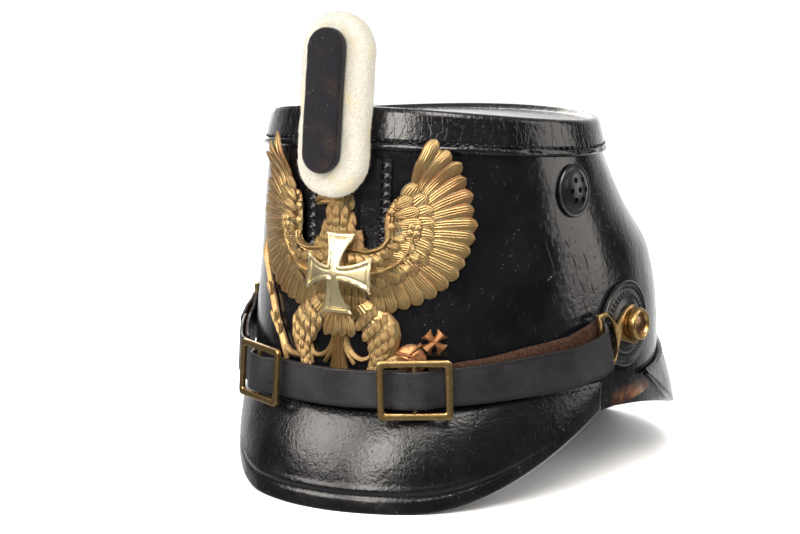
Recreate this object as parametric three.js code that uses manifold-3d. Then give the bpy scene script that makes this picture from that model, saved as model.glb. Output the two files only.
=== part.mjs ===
import * as THREE from 'three';
import { mergeVertices } from 'three/addons/utils/BufferGeometryUtils.js';
import Module from 'manifold-3d';

// A leather shako that stands on its front peak and its neck guard, in millimetres.
// Front is -Y, the wearer's left is +X, up is +Z. Reaches are measured from the head's axis.
// "arc" is a distance round the shell from the front centre, positive to the wearer's left.
// "stand" is a distance out from the shell's surface.

// Clearance between pieces that touch
const gap = 0.3;

// Shell
const shellWall = 3;
const rimFrontReach = 90;
const rimRearReach = 104;
const rimHalfWidth = 83.5;
const rimFrontHeight = 30;
const rimRearHeight = 36;
const crownFrontReach = 83.5;
const crownRearReach = 56.2;
const crownHalfWidth = 69.6;
const crownFrontHeight = 140.7;
const crownRearHeight = 136.2;
const crownSideDip = 2.5;
// How far each section has moved from the rim's reach to the crown's
const shellSections = [
  { rise: 0, rear: 0, side: 0 },
  { rise: 0.15, rear: 0, side: -0.05 },
  { rise: 0.32, rear: 0.01, side: 0 },
  { rise: 0.55, rear: 0.12, side: 0.22 },
  { rise: 0.78, rear: 0.63, side: 0.63 },
  { rise: 1, rear: 1, side: 1 },
];
const shellSpans = 50;
const shellRises = [0, 0.16, 0.34, 0.5, 0.62, 0.74, 0.87, 1];

// Crown top with its turned-down band
const bandTopFrontHeight = 155.7;
const bandTopRearHeight = 149.2;
const bandTopSideDip = 3.8;
const bandWall = 1.7;
const bandTaper = 3;
const topThickness = 2.5;
const topRimWidth = 3.2;
const topRimRise = 1.1;
const topDish = 1.6;

// Front peak
const peakReach = 106.2;
const peakHalfWidth = 84;
const peakRoot = 2.5;
const peakRoundness = 1.9;
const peakEndHeight = 33.5;
const peakFlatAngle = 0.42;
const peakThinAngle = 1;
const peakEndAngle = 1.352;
const peakSeamEndAngle = 1.262;
const peakSeamFront = 37.5;
const peakSeamSide = 45.2;
const peakBulge = 2.6;
const peakThickness = 3.2;
const skivedThickness = 1.4;

// Neck guard
const guardReach = 124;
const guardHalfWidth = 94.5;
const guardEndAngle = 1.5;
const guardFlatAngle = 0.2;
const guardEndHeight = 42;
// Height of the guard's edge as a share of its end height, from the flat rear to the front end
const guardEdge = [
  { rise: 0, height: 0 },
  { rise: 0.25, height: 0.22 },
  { rise: 0.45, height: 0.36 },
  { rise: 0.65, height: 0.5 },
  { rise: 0.85, height: 0.74 },
  { rise: 1, height: 1 },
];
const guardSeamRear = 58;
const guardSeamSide = 44.4;
const guardBulge = 1.5;
const guardThickness = 2.6;
const leatherSpans = 26;

// Leather pocket that holds the badge
const pocketWidth = 37;
const pocketBottom = 98;
const pocketTop = 136.5;
const pocketFlange = 1.2;
const pocketSleeveWidth = 11;
const pocketSleeveStand = 3;
const pocketCavity = 0.9;

// Oval badge
const badgeHeight = 71.4;
const badgeWidth = 30;
const badgeThickness = 10.7;
const badgeRound = 4.4;
const badgeBottom = 121.6;
const badgeStand = 7;
const badgeLean = 6.5;
const badgeCentreHeight = 56;
const badgeCentreWidth = 15.8;
const badgeCentreRise = 1.2;
const badgeCentreShift = -0.7;
const badgeCentreThickness = 4.4;
const badgeCentreRound = 1.2;
const prongDiameter = 1.6;
const prongDepth = 30;

// Brass eagle
const eagleArc = -1;
const eagleStand = 0.6;
const eagleChestStand = 4;
const featherEdge = 1;
const wristArc = 24;
const wristHeight = 106;
const primaryCount = 13;
const primaryRoot = 9;
const primaryLength = 27.4;
const primaryExtra = 10.8;
const primaryWidth = 8.2;
const primaryStart = 71;
const primaryEnd = -103;
const covertCount = 7;
const covertRoot = 3;
const covertLength = 14;
const covertExtra = 8.6;
const covertWidth = 8.6;
const covertStart = 73;
const covertEnd = -109;
const orbRadius = 6.4;
const orbDome = 2.7;
const orbArc = 29.6;
const orbHeight = 58.6;

// Cross on the eagle
const crossSpan = 30;
const crossArmEnd = 13;
const crossWaist = 5.8;
const crossHeight = 92;
const crossThickness = 1.2;
const crossRim = 0.8;
const crossDome = 4.2;
const crossStand = 7.7;
const crossArc = 1.3;
const crossYaw = -8;
const crossLeanBack = 3;

// Chin strap
const strapWidth = 16.4;
const strapFrontWidth = 14.8;
const strapThickness = 1.5;
const strapFrontHeight = 46.6;
const strapRise = 9.4;
const strapRiseArc = 118;
const strapRiseCurve = 1.5;
const strapRightRiseCurve = 2.3;
const strapInnerStand = 4.3;
const strapSideStand = 2;
const strapInnerLift = 4;
const foldInnerShift = 0.9;
const foldOuterShift = -3.6;
const strapBulge = 1.4;

// Buckles, slides with a middle bar that the strap passes over
const buckleLength = 29.6;
const buckleHeight = 23.4;
const buckleBar = 2.8;
const buckleThickness = 2;
const buckleCorner = 1.4;
const buckleStand = 8.8;
const buckleSlope = 0.55;
const leftBuckleArc = 31.2;
const rightBuckleArc = -37;
const rightBuckleTurn = 0.04;

// Side posts, cockades and forked fittings
const postAngle = 1.452;
const postHeight = 66;
const postStem = 9.6;
const postCap = 13.2;
const postCapThickness = 3.4;
const postCapStand = 5.7;
const postCup = 1.5;
const cockadeRadius = 17.4;
const cockadeThickness = 2.6;
const cockadeDome = 1.1;
const cockadeRim = 2.4;
const fittingStand = 3.5;
const fittingThickness = 1.6;
const fittingFall = 12.7;
const fittingLean = 5;
const forkWidth = 2.9;
const forkOpening = 2;
const loopReach = 21.6;
const loopHalfHeight = 10.6;
const loopArm = 2.4;
const loopBar = 2;

// Side vents
const ventAngle = 1.31;
const ventHeight = 122.3;
const ventRadius = 10.6;
const ventWall = 1.3;
const ventDome = 2.2;
const ventHole = 1.25;
const ventHolePitch = 4.6;
const ventBore = 7;

// Materials
const lacqueredLeather = { color: 0x17171a, roughness: 0.25, metalness: 0 };
const strapLeather = { color: 0x232226, roughness: 0.5, metalness: 0 };
const whiteWool = { color: 0xe6e1d6, roughness: 0.95, metalness: 0 };
const blackWool = { color: 0x1b1a20, roughness: 0.95, metalness: 0 };
const stampedBrass = { color: 0xb08a45, roughness: 0.35, metalness: 1 };
const paleNickel = { color: 0xc9bf94, roughness: 0.3, metalness: 1 };
const blackenedTin = { color: 0x141417, roughness: 0.3, metalness: 0.4 };

const lerp = THREE.MathUtils.lerp;
const radians = THREE.MathUtils.degToRad;
const wasm = await Module();
wasm.setup();

// Reads a column of a table at a rise, with a smooth curve that never overshoots its rows
function smoothColumn(rows, column, rise) {
  const last = rows.length - 1;
  let row = 0;
  while (row < last - 1 && rise > rows[row + 1].rise) row += 1;
  const slope = (at) => (rows[at + 1][column] - rows[at][column]) / (rows[at + 1].rise - rows[at].rise);
  const tangent = (at) => {
    if (at === 0) return slope(0);
    if (at === last) return slope(last - 1);
    const before = slope(at - 1);
    const after = slope(at);
    return before * after > 0 ? (2 * before * after) / (before + after) : 0;
  };
  const span = rows[row + 1].rise - rows[row].rise;
  const share = (rise - rows[row].rise) / span;
  const square = share * share;
  const cube = square * share;
  return (2 * cube - 3 * square + 1) * rows[row][column]
    + (cube - 2 * square + share) * span * tangent(row)
    + (3 * square - 2 * cube) * rows[row + 1][column]
    + (cube - square) * span * tangent(row + 1);
}

// Reaches of the shell at a rise: 0 is the rim, 1 the crown's edge and 2 the top of its band
function shellReach(rise) {
  if (rise > 1) {
    const inset = bandTaper * (rise - 1);
    return { front: crownFrontReach - inset, rear: crownRearReach - inset, side: crownHalfWidth - inset };
  }
  return {
    front: lerp(rimFrontReach, crownFrontReach, rise),
    rear: lerp(rimRearReach, crownRearReach, smoothColumn(shellSections, 'rear', rise)),
    side: lerp(rimHalfWidth, crownHalfWidth, smoothColumn(shellSections, 'side', rise)),
  };
}

function rimHeight(angle) {
  return lerp(rimFrontHeight, rimRearHeight, (1 - Math.cos(angle)) / 2);
}

function crownHeight(angle) {
  const plain = lerp(crownFrontHeight, crownRearHeight, (1 - Math.cos(angle)) / 2);
  return plain - crownSideDip * Math.sin(angle) ** 2;
}

function bandTopHeight(angle) {
  const plain = lerp(bandTopFrontHeight, bandTopRearHeight, (1 - Math.cos(angle)) / 2);
  return plain - bandTopSideDip * Math.sin(angle) ** 2;
}

function shellPoint(angle, rise, stand = 0) {
  const { front, rear, side } = shellReach(rise);
  const depth = (front + rear) / 2;
  const outward = new THREE.Vector2(Math.sin(angle) / side, -Math.cos(angle) / depth).normalize();
  const height = rise > 1
    ? lerp(crownHeight(angle), bandTopHeight(angle), rise - 1)
    : lerp(rimHeight(angle), crownHeight(angle), rise);
  return new THREE.Vector3(
    side * Math.sin(angle) + stand * outward.x,
    (rear - front) / 2 - depth * Math.cos(angle) + stand * outward.y,
    height,
  );
}

// The same surface, found by height in place of rise
function shellAt(angle, height, stand = 0) {
  const crown = crownHeight(angle);
  const rim = rimHeight(angle);
  const rise = height > crown
    ? 1 + (height - crown) / (bandTopHeight(angle) - crown)
    : (height - rim) / (crown - rim);
  const point = shellPoint(angle, Math.max(rise, 0), stand);
  point.z = height;
  return point;
}

// Walks round the shell at one height until it has covered the arc
const walkStep = 0.025;
function angleAt(arc, height) {
  const side = Math.sign(arc) || 1;
  let angle = 0;
  let left = Math.abs(arc);
  let from = shellAt(0, height);
  for (;;) {
    const next = shellAt(side * (angle + walkStep), height);
    const length = next.distanceTo(from);
    if (length >= left) return side * (angle + (walkStep * left) / length);
    left -= length;
    angle += walkStep;
    from = next;
  }
}

function arcAt(angle, height) {
  const steps = 60;
  let arc = 0;
  for (let step = 0; step < steps; step += 1) {
    arc += shellAt((angle * step) / steps, height).distanceTo(shellAt((angle * (step + 1)) / steps, height));
  }
  return arc;
}

// Axes on the shell's surface: along the arc, up the wall and straight out of it
function frameAt(angle, height) {
  const reach = 0.5;
  const turn = 0.01;
  const point = shellAt(angle, height);
  const along = shellAt(angle + turn, height).sub(shellAt(angle - turn, height)).normalize();
  const up = shellAt(angle, height + reach).sub(shellAt(angle, height - reach)).normalize();
  const out = new THREE.Vector3().crossVectors(along, up).normalize();
  up.crossVectors(out, along).normalize();
  return { point, along, up, out };
}

function frameOn(arc, height) {
  return frameAt(angleAt(arc, height), height);
}

function onShell(arc, height, stand) {
  const { point, out } = frameOn(arc, height);
  return point.addScaledVector(out, stand);
}

// Turns a mesh whose faces point inwards the right way round
function facingOut(geometry) {
  const { array } = geometry.attributes.position;
  const index = geometry.index.array;
  const corner = (at) => new THREE.Vector3().fromArray(array, 3 * index[at]);
  let volume = 0;
  for (let at = 0; at < index.length; at += 3) {
    volume += corner(at).dot(corner(at + 1).cross(corner(at + 2)));
  }
  if (volume < 0) {
    for (let at = 0; at < index.length; at += 3) {
      [index[at + 1], index[at + 2]] = [index[at + 2], index[at + 1]];
    }
  }
  return geometry;
}

function meshFrom(points, index) {
  const geometry = new THREE.BufferGeometry();
  geometry.setAttribute('position', new THREE.Float32BufferAttribute(points.flatMap((p) => p.toArray()), 3));
  geometry.setIndex(index);
  return facingOut(geometry);
}

// Skin over sections that are closed loops of points. Ends: 'ring' joins last to first,
// 'strip' zips each end section across, and 'point' closes each end at its middle.
function loft(sections, ends) {
  const count = sections[0].length;
  const points = sections.flat();
  const index = [];
  const spans = ends === 'ring' ? sections.length : sections.length - 1;
  for (let span = 0; span < spans; span += 1) {
    const near = span * count;
    const far = ((span + 1) % sections.length) * count;
    for (let i = 0; i < count; i += 1) {
      const j = (i + 1) % count;
      index.push(near + i, far + i, far + j, near + i, far + j, near + j);
    }
  }
  const closeEnd = (start, flip) => {
    const face = (a, b, c) => index.push(...(flip ? [a, c, b] : [a, b, c]));
    if (ends === 'point') {
      const middle = new THREE.Vector3();
      for (let i = 0; i < count; i += 1) middle.addScaledVector(points[start + i], 1 / count);
      points.push(middle);
      for (let i = 0; i < count; i += 1) face(points.length - 1, start + i, start + ((i + 1) % count));
    }
    if (ends === 'strip') {
      for (let i = 0; i < count / 2 - 1; i += 1) {
        const across = start + count - 1 - i;
        face(start + i, start + i + 1, across - 1);
        face(start + i, across - 1, across);
      }
    }
  };
  closeEnd(0, false);
  closeEnd((sections.length - 1) * count, true);
  return meshFrom(points, index);
}

function welded(geometry) {
  geometry.deleteAttribute('normal');
  geometry.deleteAttribute('uv');
  return mergeVertices(geometry, 1e-3);
}

function toSolid(geometry) {
  const vertProperties = new Float32Array(geometry.attributes.position.array);
  const triVerts = new Uint32Array(geometry.index.array);
  return new wasm.Manifold(new wasm.Mesh({ numProp: 3, vertProperties, triVerts }));
}

function toGeometry(solid) {
  const { vertProperties, triVerts } = solid.getMesh();
  const geometry = new THREE.BufferGeometry();
  geometry.setAttribute('position', new THREE.BufferAttribute(vertProperties, 3));
  geometry.setIndex(new THREE.BufferAttribute(triVerts, 1));
  return geometry;
}

function joined(geometries) {
  return geometries.map(toSolid).reduce((whole, solid) => whole.add(solid));
}

// Moves a mesh made in a flat frame (x along, y up, z out) to its frame on the shell
function placed(geometry, frame, stand = 0) {
  const { point, along, up, out } = frame;
  const move = new THREE.Matrix4().makeBasis(along, up, out);
  move.setPosition(point.clone().addScaledVector(out, stand));
  return facingOut(geometry.applyMatrix4(move));
}

function lathe(profile, segments) {
  const turned = new THREE.LatheGeometry(profile.map(([radius, out]) => new THREE.Vector2(radius, out)), segments);
  return facingOut(welded(turned.rotateX(Math.PI / 2)));
}

const assembly = new THREE.Group();
function addPiece(name, geometry, finish) {
  const mesh = new THREE.Mesh(geometry, new THREE.MeshStandardMaterial(finish));
  mesh.name = name;
  assembly.add(mesh);
}

function turns(spans) {
  return Array.from({ length: spans }, (_, span) => (2 * Math.PI * span) / spans);
}

// Shell, open below and under the crown top, bored behind the vents
const bandFrontHeight = bandTopFrontHeight - crownFrontHeight;
const bandRearHeight = bandTopRearHeight - crownRearHeight;
const shellTopRise = 1 + (bandRearHeight - topThickness - gap) / bandRearHeight;
function buildShell() {
  const rises = [...shellRises, shellTopRise];
  const walls = turns(shellSpans).map((angle) => [
    ...rises.map((rise) => shellPoint(angle, rise)),
    ...rises.toReversed().map((rise) => shellPoint(angle, rise, -shellWall)),
  ]);
  const bores = [1, -1].map((side) => {
    const bore = new THREE.CylinderGeometry(ventBore, ventBore, 6 * shellWall, 16);
    return toSolid(placed(welded(bore.rotateX(Math.PI / 2)), frameAt(side * ventAngle, ventHeight)));
  });
  return toGeometry(bores.reduce((body, bore) => body.subtract(bore), toSolid(loft(walls, 'ring'))));
}

// Crown top: a saddle-shaped disc with a raised rim, turned down into a band round the shell
function crownRing(inset, height) {
  const { front, rear, side } = shellReach(2);
  return turns(shellSpans).map((angle) => {
    const point = shellPoint(angle, 2);
    const depth = (front + rear) / 2;
    const centre = (rear - front) / 2;
    const shrink = 1 - inset / side;
    point.x *= shrink;
    point.y = centre + (point.y - centre) * (1 - inset / depth);
    const back = (1 - ((centre - point.y) / depth)) / 2;
    const dip = bandTopSideDip * (point.x / side) ** 2;
    point.z = lerp(bandTopFrontHeight, bandTopRearHeight, back) - dip + height;
    return point;
  });
}

function buildCrownTop() {
  const band = (rise, stand) => turns(shellSpans).map((angle) => shellPoint(angle, rise, stand));
  const outer = gap + bandWall;
  const middle = crownHalfWidth / 2;
  const underside = shellTopRise + gap / bandRearHeight;
  return loft([
    crownRing(middle, -topDish - topThickness),
    crownRing(topRimWidth + shellWall, -topDish - topThickness),
    crownRing(shellWall + 0.6, -topThickness),
    band(underside, gap),
    band(1, gap),
    band(1, outer),
    band(1.94, outer),
    crownRing(-outer + 0.9, topRimRise * 0.75),
    crownRing(-outer + 2.1, topRimRise),
    crownRing(topRimWidth + 1, -topDish * 0.8),
    crownRing(middle, -topDish),
  ], 'point');
}

// A leather flap sewn to the shell: from its seam it swells out and runs down to its cut edge
function flapSection(seam, thin, edge, bulge, thickness) {
  const run = edge.clone().sub(seam);
  const flat = new THREE.Vector3(run.x, run.y, 0);
  if (flat.length() < 1e-6) flat.set(seam.x, seam.y, 0);
  flat.normalize();
  const swell = new THREE.Vector3(flat.x * Math.abs(run.z), flat.y * Math.abs(run.z), flat.dot(run));
  swell.normalize();
  const control = seam.clone().add(edge).multiplyScalar(0.5).addScaledVector(swell, 2 * bulge);
  const curve = new THREE.QuadraticBezierCurve3(seam, control, edge);
  const shares = [0, 0.12, 0.3, 0.5, 0.7, 0.88, 1];
  const outer = shares.map((share) => curve.getPoint(share));
  const inner = shares.map((share) => {
    const wall = lerp(thin, thickness, THREE.MathUtils.smoothstep(share, 0, 0.3));
    const tangent = curve.getTangent(share);
    const side = new THREE.Vector3(-flat.y, flat.x, 0);
    const inward = new THREE.Vector3().crossVectors(tangent, side).normalize();
    if (inward.dot(flat) > 0) inward.negate();
    return curve.getPoint(share).addScaledVector(inward, wall);
  });
  const last = shares.length - 1;
  const bevel = thickness * 0.4;
  inner[last].z = edge.z;
  const cut = outer[last].clone().addScaledVector(flat, -bevel * 0.6);
  outer[last] = curve.getPoint(1 - bevel / seam.distanceTo(edge));
  cut.z = edge.z;
  return [...outer, cut, inner[last].clone().lerp(cut, 0.3), ...inner.toReversed()];
}

function buildPeak() {
  const sections = [];
  for (let span = 0; span <= leatherSpans; span += 1) {
    const angle = lerp(-peakEndAngle, peakEndAngle, span / leatherSpans);
    const spread = Math.max(0, (Math.abs(angle) - peakFlatAngle) / (peakEndAngle - peakFlatAngle));
    const depth = (peakReach - peakRoot) * Math.cos(angle) ** (2 / peakRoundness);
    const edge = new THREE.Vector3(
      peakHalfWidth * Math.sin(angle),
      -peakRoot - depth,
      peakEndHeight * spread * spread * (1.6 - 0.6 * spread),
    );
    const seamHeight = lerp(peakSeamFront, peakSeamSide, Math.sin(angle) ** 2);
    const drawnIn = lerp(1, peakSeamEndAngle / peakEndAngle, (angle / peakEndAngle) ** 2);
    const seam = shellAt(angle * drawnIn, seamHeight, gap + skivedThickness);
    const thinned = THREE.MathUtils.smoothstep(Math.abs(angle), peakThinAngle, peakEndAngle);
    const thickness = lerp(peakThickness, skivedThickness, thinned);
    edge.add(clearOfShell(edge, thickness));
    const swell = peakBulge * Math.cos(angle) ** 0.5;
    sections.push(flapSection(seam, skivedThickness, edge, swell, thickness));
  }
  return loft(sections, 'strip');
}

// The step that keeps an edge point a wall's thickness outside the shell where it runs beside it
function clearOfShell(point, thickness) {
  const { front, rear, side } = shellReach(0);
  const centre = (rear - front) / 2;
  const depth = (front + rear) / 2;
  const angle = Math.atan2(point.x / side, (centre - point.y) / depth);
  const nearest = shellAt(angle, Math.max(point.z, rimHeight(angle)), gap + thickness);
  const out = new THREE.Vector3(Math.sin(angle) / side, -Math.cos(angle) / depth, 0).normalize();
  const short = nearest.sub(point).setZ(0).dot(out);
  return out.multiplyScalar(Math.max(0, short));
}

function buildGuard() {
  const sections = [];
  for (let span = 0; span <= leatherSpans; span += 1) {
    const turn = lerp(-guardEndAngle, guardEndAngle, span / leatherSpans);
    const angle = Math.PI - turn;
    const spread = Math.max(0, (Math.abs(turn) - guardFlatAngle) / (guardEndAngle - guardFlatAngle));
    const rootY = (rimRearReach - rimFrontReach) / 2;
    const edge = new THREE.Vector3(
      guardHalfWidth * Math.sin(turn),
      rootY + (guardReach - rootY) * Math.cos(turn),
      guardEndHeight * smoothColumn(guardEdge, 'height', Math.min(spread, 1)),
    );
    const seamHeight = lerp(guardSeamSide, guardSeamRear, Math.cos(turn) ** 2);
    const seam = shellAt(angle, seamHeight, gap + skivedThickness);
    const fall = seamHeight - edge.z;
    const flare = Math.min(1, fall / guardSeamRear);
    const straight = shellAt(angle, Math.max(edge.z, rimHeight(angle)), gap + guardThickness);
    edge.x = lerp(straight.x, edge.x, flare ** 0.6);
    edge.y = lerp(straight.y, edge.y, flare ** 0.6);
    sections.push(flapSection(seam, skivedThickness, edge, guardBulge * flare, guardThickness));
  }
  return loft(sections, 'strip');
}

// Pocket: a flat flange with a raised sleeve down its middle that the badge's prong slides in
function buildPocket() {
  const half = pocketWidth / 2;
  const sleeve = pocketSleeveWidth / 2;
  const outline = [
    [-half, gap], [-half, gap + pocketFlange], [-sleeve - 1.5, gap + pocketFlange],
    [-sleeve, pocketSleeveStand + gap], [0, pocketSleeveStand + gap], [sleeve, pocketSleeveStand + gap],
    [sleeve + 1.5, gap + pocketFlange], [half, gap + pocketFlange], [half, gap], [(half + sleeve) / 2, gap],
    [sleeve, gap], [sleeve - 1, gap + pocketSleeveStand - pocketCavity],
    [-sleeve + 1, gap + pocketSleeveStand - pocketCavity], [-sleeve, gap], [-(half + sleeve) / 2, gap],
  ];
  const steps = 4;
  const count = outline.length;
  const points = [];
  const index = [];
  for (let step = 0; step <= steps; step += 1) {
    const height = lerp(pocketBottom, pocketTop, step / steps);
    outline.forEach(([arc, stand]) => points.push(onShell(arc, height, stand)));
  }
  for (let step = 0; step < steps; step += 1) {
    for (let i = 0; i < count; i += 1) {
      const j = (i + 1) % count;
      const near = step * count;
      const far = near + count;
      index.push(near + i, far + i, far + j, near + i, far + j, near + j);
    }
  }
  const contour = outline.map(([arc, stand]) => new THREE.Vector2(arc, stand));
  const faces = THREE.ShapeUtils.triangulateShape(contour, []);
  const clockwise = THREE.ShapeUtils.isClockWise(contour);
  const top = steps * count;
  faces.forEach(([a, b, c]) => {
    const [first, second] = clockwise ? [b, c] : [c, b];
    index.push(a, second, first, top + a, top + first, top + second);
  });
  return meshFrom(points, index);
}

// Badge, built in its own frame with y up its length and z forward
function stadium(width, height) {
  const radius = width / 2;
  const straight = height / 2 - radius;
  const shape = new THREE.Shape();
  shape.absarc(0, straight, radius, 0, Math.PI, false);
  shape.absarc(0, -straight, radius, Math.PI, 2 * Math.PI, false);
  return shape;
}

function badgePad(width, height, thickness, round, segments) {
  const pad = new THREE.ExtrudeGeometry(stadium(width - 2 * round, height - 2 * round), {
    depth: thickness - 2 * round,
    bevelSize: round,
    bevelThickness: round,
    bevelSegments: segments,
    curveSegments: 7,
  });
  return welded(pad.translate(0, 0, round));
}

const badgeBack = shellAt(0, badgeBottom).y - badgeStand;
const badgeMove = new THREE.Matrix4()
  .makeTranslation(0, badgeBack, badgeBottom)
  .multiply(new THREE.Matrix4().makeRotationX(Math.PI / 2 - radians(badgeLean)))
  .multiply(new THREE.Matrix4().makeTranslation(0, badgeHeight / 2, 0));

function buildBadge() {
  const pad = badgePad(badgeWidth, badgeHeight, badgeThickness, badgeRound, 3);
  const centre = badgePad(badgeCentreWidth, badgeCentreHeight, badgeCentreThickness, badgeCentreRound, 1);
  const seat = badgeThickness + gap;
  addPiece('badge_pad', facingOut(pad.applyMatrix4(badgeMove)), whiteWool);
  addPiece('badge_centre', facingOut(centre.translate(badgeCentreShift, badgeCentreRise, seat).applyMatrix4(badgeMove)), blackWool);
  const inPocket = gap + prongDiameter / 2 + 0.2;
  const bend = crownFrontHeight - gap - 1.3 * (prongDiameter / 2);
  const backStand = shellAt(0, bend).y - badgeBack - (bend - badgeBottom) * Math.tan(radians(badgeLean));
  const wire = new THREE.CatmullRomCurve3([
    onShell(0, pocketTop - prongDepth, inPocket), onShell(0, pocketTop - 5, inPocket),
    onShell(0, pocketTop + 0.6, inPocket), onShell(0, bend, inPocket + 2.2), onShell(0, bend, backStand - gap),
  ]);
  const ring = new THREE.Shape().absarc(0, 0, prongDiameter / 2, 0, 2 * Math.PI, false);
  const prong = new THREE.ExtrudeGeometry(ring, { steps: 12, curveSegments: 3, extrudePath: wire });
  addPiece('badge_prong', facingOut(welded(prong)), stampedBrass);
}

// Eagle: every feather and limb is a strip bent to the shell, and all are joined into one plate
function plateStand(arc, height) {
  const overPocket = 1 - THREE.MathUtils.smoothstep(Math.abs(arc), pocketWidth / 2 - 2, pocketWidth / 2 + 6);
  const lifted = overPocket * THREE.MathUtils.smoothstep(height, pocketBottom - 15, pocketBottom - 5);
  const overBand = THREE.MathUtils.smoothstep(height, crownFrontHeight - 14, crownFrontHeight - 3);
  return lerp(eagleStand, eagleChestStand, Math.max(lifted, overBand));
}

// Section of a strip: share of its half width and share of its lift for each corner
const featherSection = [[-1, 0], [-0.7, 1], [0.7, 1], [1, 0]];
const limbSection = [[0, 0], [-1, 0], [-0.72, 0.75], [0, 1], [0.72, 0.75], [1, 0]];

function strip(side, spine, halfWidths, lifts, section) {
  const last = spine.length - 1;
  const sections = spine.map(([arc, height], at) => {
    const [beforeArc, beforeHeight] = spine[Math.max(at - 1, 0)];
    const [afterArc, afterHeight] = spine[Math.min(at + 1, last)];
    const across = new THREE.Vector2(beforeHeight - afterHeight, afterArc - beforeArc).normalize();
    return section.map(([share, lift]) => {
      const cornerArc = arc + across.x * halfWidths[at] * share;
      const cornerHeight = height + across.y * halfWidths[at] * share;
      const stand = plateStand(cornerArc, cornerHeight) + lift * lifts[at];
      return onShell(eagleArc + side * cornerArc, cornerHeight, stand);
    });
  });
  return loft(sections, 'strip');
}

function feather(side, count, number, fan) {
  const share = number / (count - 1);
  const angle = radians(lerp(fan.start, fan.end, share));
  const reach = fan.length + fan.extra * Math.max(0, 1 - share / 0.5) ** 2;
  const narrowed = lerp(fan.firstWidth, 1, THREE.MathUtils.smoothstep(share, 0, 0.2));
  const width = fan.width * narrowed * (number % 2 === 0 ? 1.08 : 0.86);
  const shares = [0, 0.45, 0.88, 1];
  const bend = 0.12;
  const spine = shares.map((part) => {
    const radius = lerp(fan.root, reach, part);
    const turn = angle + bend * (1 - part);
    return [wristArc + radius * Math.cos(turn), wristHeight + radius * Math.sin(turn)];
  });
  const halfWidths = [0.3, 0.45, 0.46, 0.2].map((part) => part * width);
  const lift = fan.lift + (number % 2 === 0 ? 0.25 : 0);
  const lifts = shares.map((part) => lift - featherEdge * 0.3 * part);
  return strip(side, spine, halfWidths, lifts, featherSection);
}

const primaries = {
  start: primaryStart, end: primaryEnd, root: primaryRoot, length: primaryLength,
  extra: primaryExtra, width: primaryWidth, firstWidth: 0.62, lift: featherEdge,
};
const coverts = {
  start: covertStart, end: covertEnd, root: covertRoot, length: covertLength,
  extra: covertExtra, width: covertWidth, firstWidth: 0.75, lift: 1.8 * featherEdge,
};

// Limbs of the eagle: arc and height of each station, its half width and its lift
const limbs = {
  wingArm: [
    { arc: 6, height: 98, half: 5, lift: 2.6 }, { arc: 14, height: 97.5, half: 4.6, lift: 2.8 },
    { arc: 21, height: 99.5, half: 4.4, lift: 2.9 }, { arc: 24, height: 107, half: 4.2, lift: 2.9 },
    { arc: 23.6, height: 114, half: 3.6, lift: 2.8 }, { arc: 25.5, height: 121, half: 2.6, lift: 2.4 },
  ],
  thigh: [
    { arc: 10, height: 78, half: 5, lift: 2.4 }, { arc: 15.5, height: 72, half: 6, lift: 2.8 },
    { arc: 18.6, height: 66, half: 6.4, lift: 2.6 }, { arc: 16.5, height: 60, half: 4.6, lift: 2 },
    { arc: 15, height: 55.5, half: 2.6, lift: 1.5 },
  ],
  tailScroll: [
    { arc: 2, height: 68, half: 1.4, lift: 1.6 }, { arc: 4.6, height: 61, half: 1.3, lift: 1.5 },
    { arc: 9, height: 57.4, half: 1.2, lift: 1.3 }, { arc: 13.4, height: 57.2, half: 1, lift: 1.2 },
  ],
  chest: [
    { arc: 0, height: 124, half: 4.4, lift: 2.2 }, { arc: 0, height: 116, half: 4.9, lift: 2.6 },
    { arc: 0, height: 110, half: 6.6, lift: 2 }, { arc: 0, height: 103.5, half: 11, lift: 1.8 },
    { arc: 0, height: 95, half: 13, lift: 2.4 }, { arc: 0, height: 86, half: 13, lift: 2.6 },
    { arc: 0, height: 79, half: 10.5, lift: 2.8 }, { arc: 0, height: 71, half: 6, lift: 2.6 },
  ],
  tail: [
    { arc: 0, height: 73, half: 3.6, lift: 2.2 }, { arc: 0, height: 66, half: 4.6, lift: 2 },
    { arc: 0, height: 62, half: 3, lift: 1.8 }, { arc: 0, height: 53.5, half: 3.2, lift: 1.4 },
  ],
  beak: [
    { arc: 1, height: 121, half: 3.4, lift: 2.2 }, { arc: -6, height: 120.6, half: 2.4, lift: 1.9 },
    { arc: -12.6, height: 118.8, half: 0.8, lift: 1.5 },
  ],
  sceptre: [
    { arc: -18, height: 57, half: 1.4, lift: 1.9 }, { arc: -30.5, height: 59.5, half: 1.8, lift: 1.7 },
    { arc: -37, height: 67.5, half: 2.2, lift: 1.8 }, { arc: -42, height: 76, half: 1.3, lift: 1.6 },
    { arc: -47.5, height: 86, half: 1.4, lift: 2 }, { arc: -53, height: 96, half: 1.6, lift: 2.4 },
  ],
  orbArm: [
    { arc: 16, height: 58.6, half: 1.4, lift: 1.6 }, { arc: 27, height: 60.4, half: 2, lift: 1.6 },
  ],
  orbCrossUpright: [
    { arc: 33.4, height: 61.6, half: 1, lift: 2.4 }, { arc: 38, height: 65.6, half: 1.1, lift: 2.4 },
    { arc: 41.4, height: 68.8, half: 2, lift: 2.4 },
  ],
  orbCrossBar: [
    { arc: 35.4, height: 68.8, half: 1.8, lift: 2.4 }, { arc: 38.2, height: 65.8, half: 1, lift: 2.4 },
    { arc: 41.2, height: 62.8, half: 1.8, lift: 2.4 },
  ],
};

// Balls along the inner edge of each wing and one on it: arc, height and radius
const wingBeads = [[22.9, 120.6, 2.3], [20.6, 115.4, 2.3], [20.2, 109.6, 2.3], [28, 109, 3]];

function limb(side, rows) {
  return strip(
    side,
    rows.map(({ arc, height }) => [arc, height]),
    rows.map(({ half }) => half),
    rows.map(({ lift }) => lift),
    limbSection,
  );
}

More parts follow.
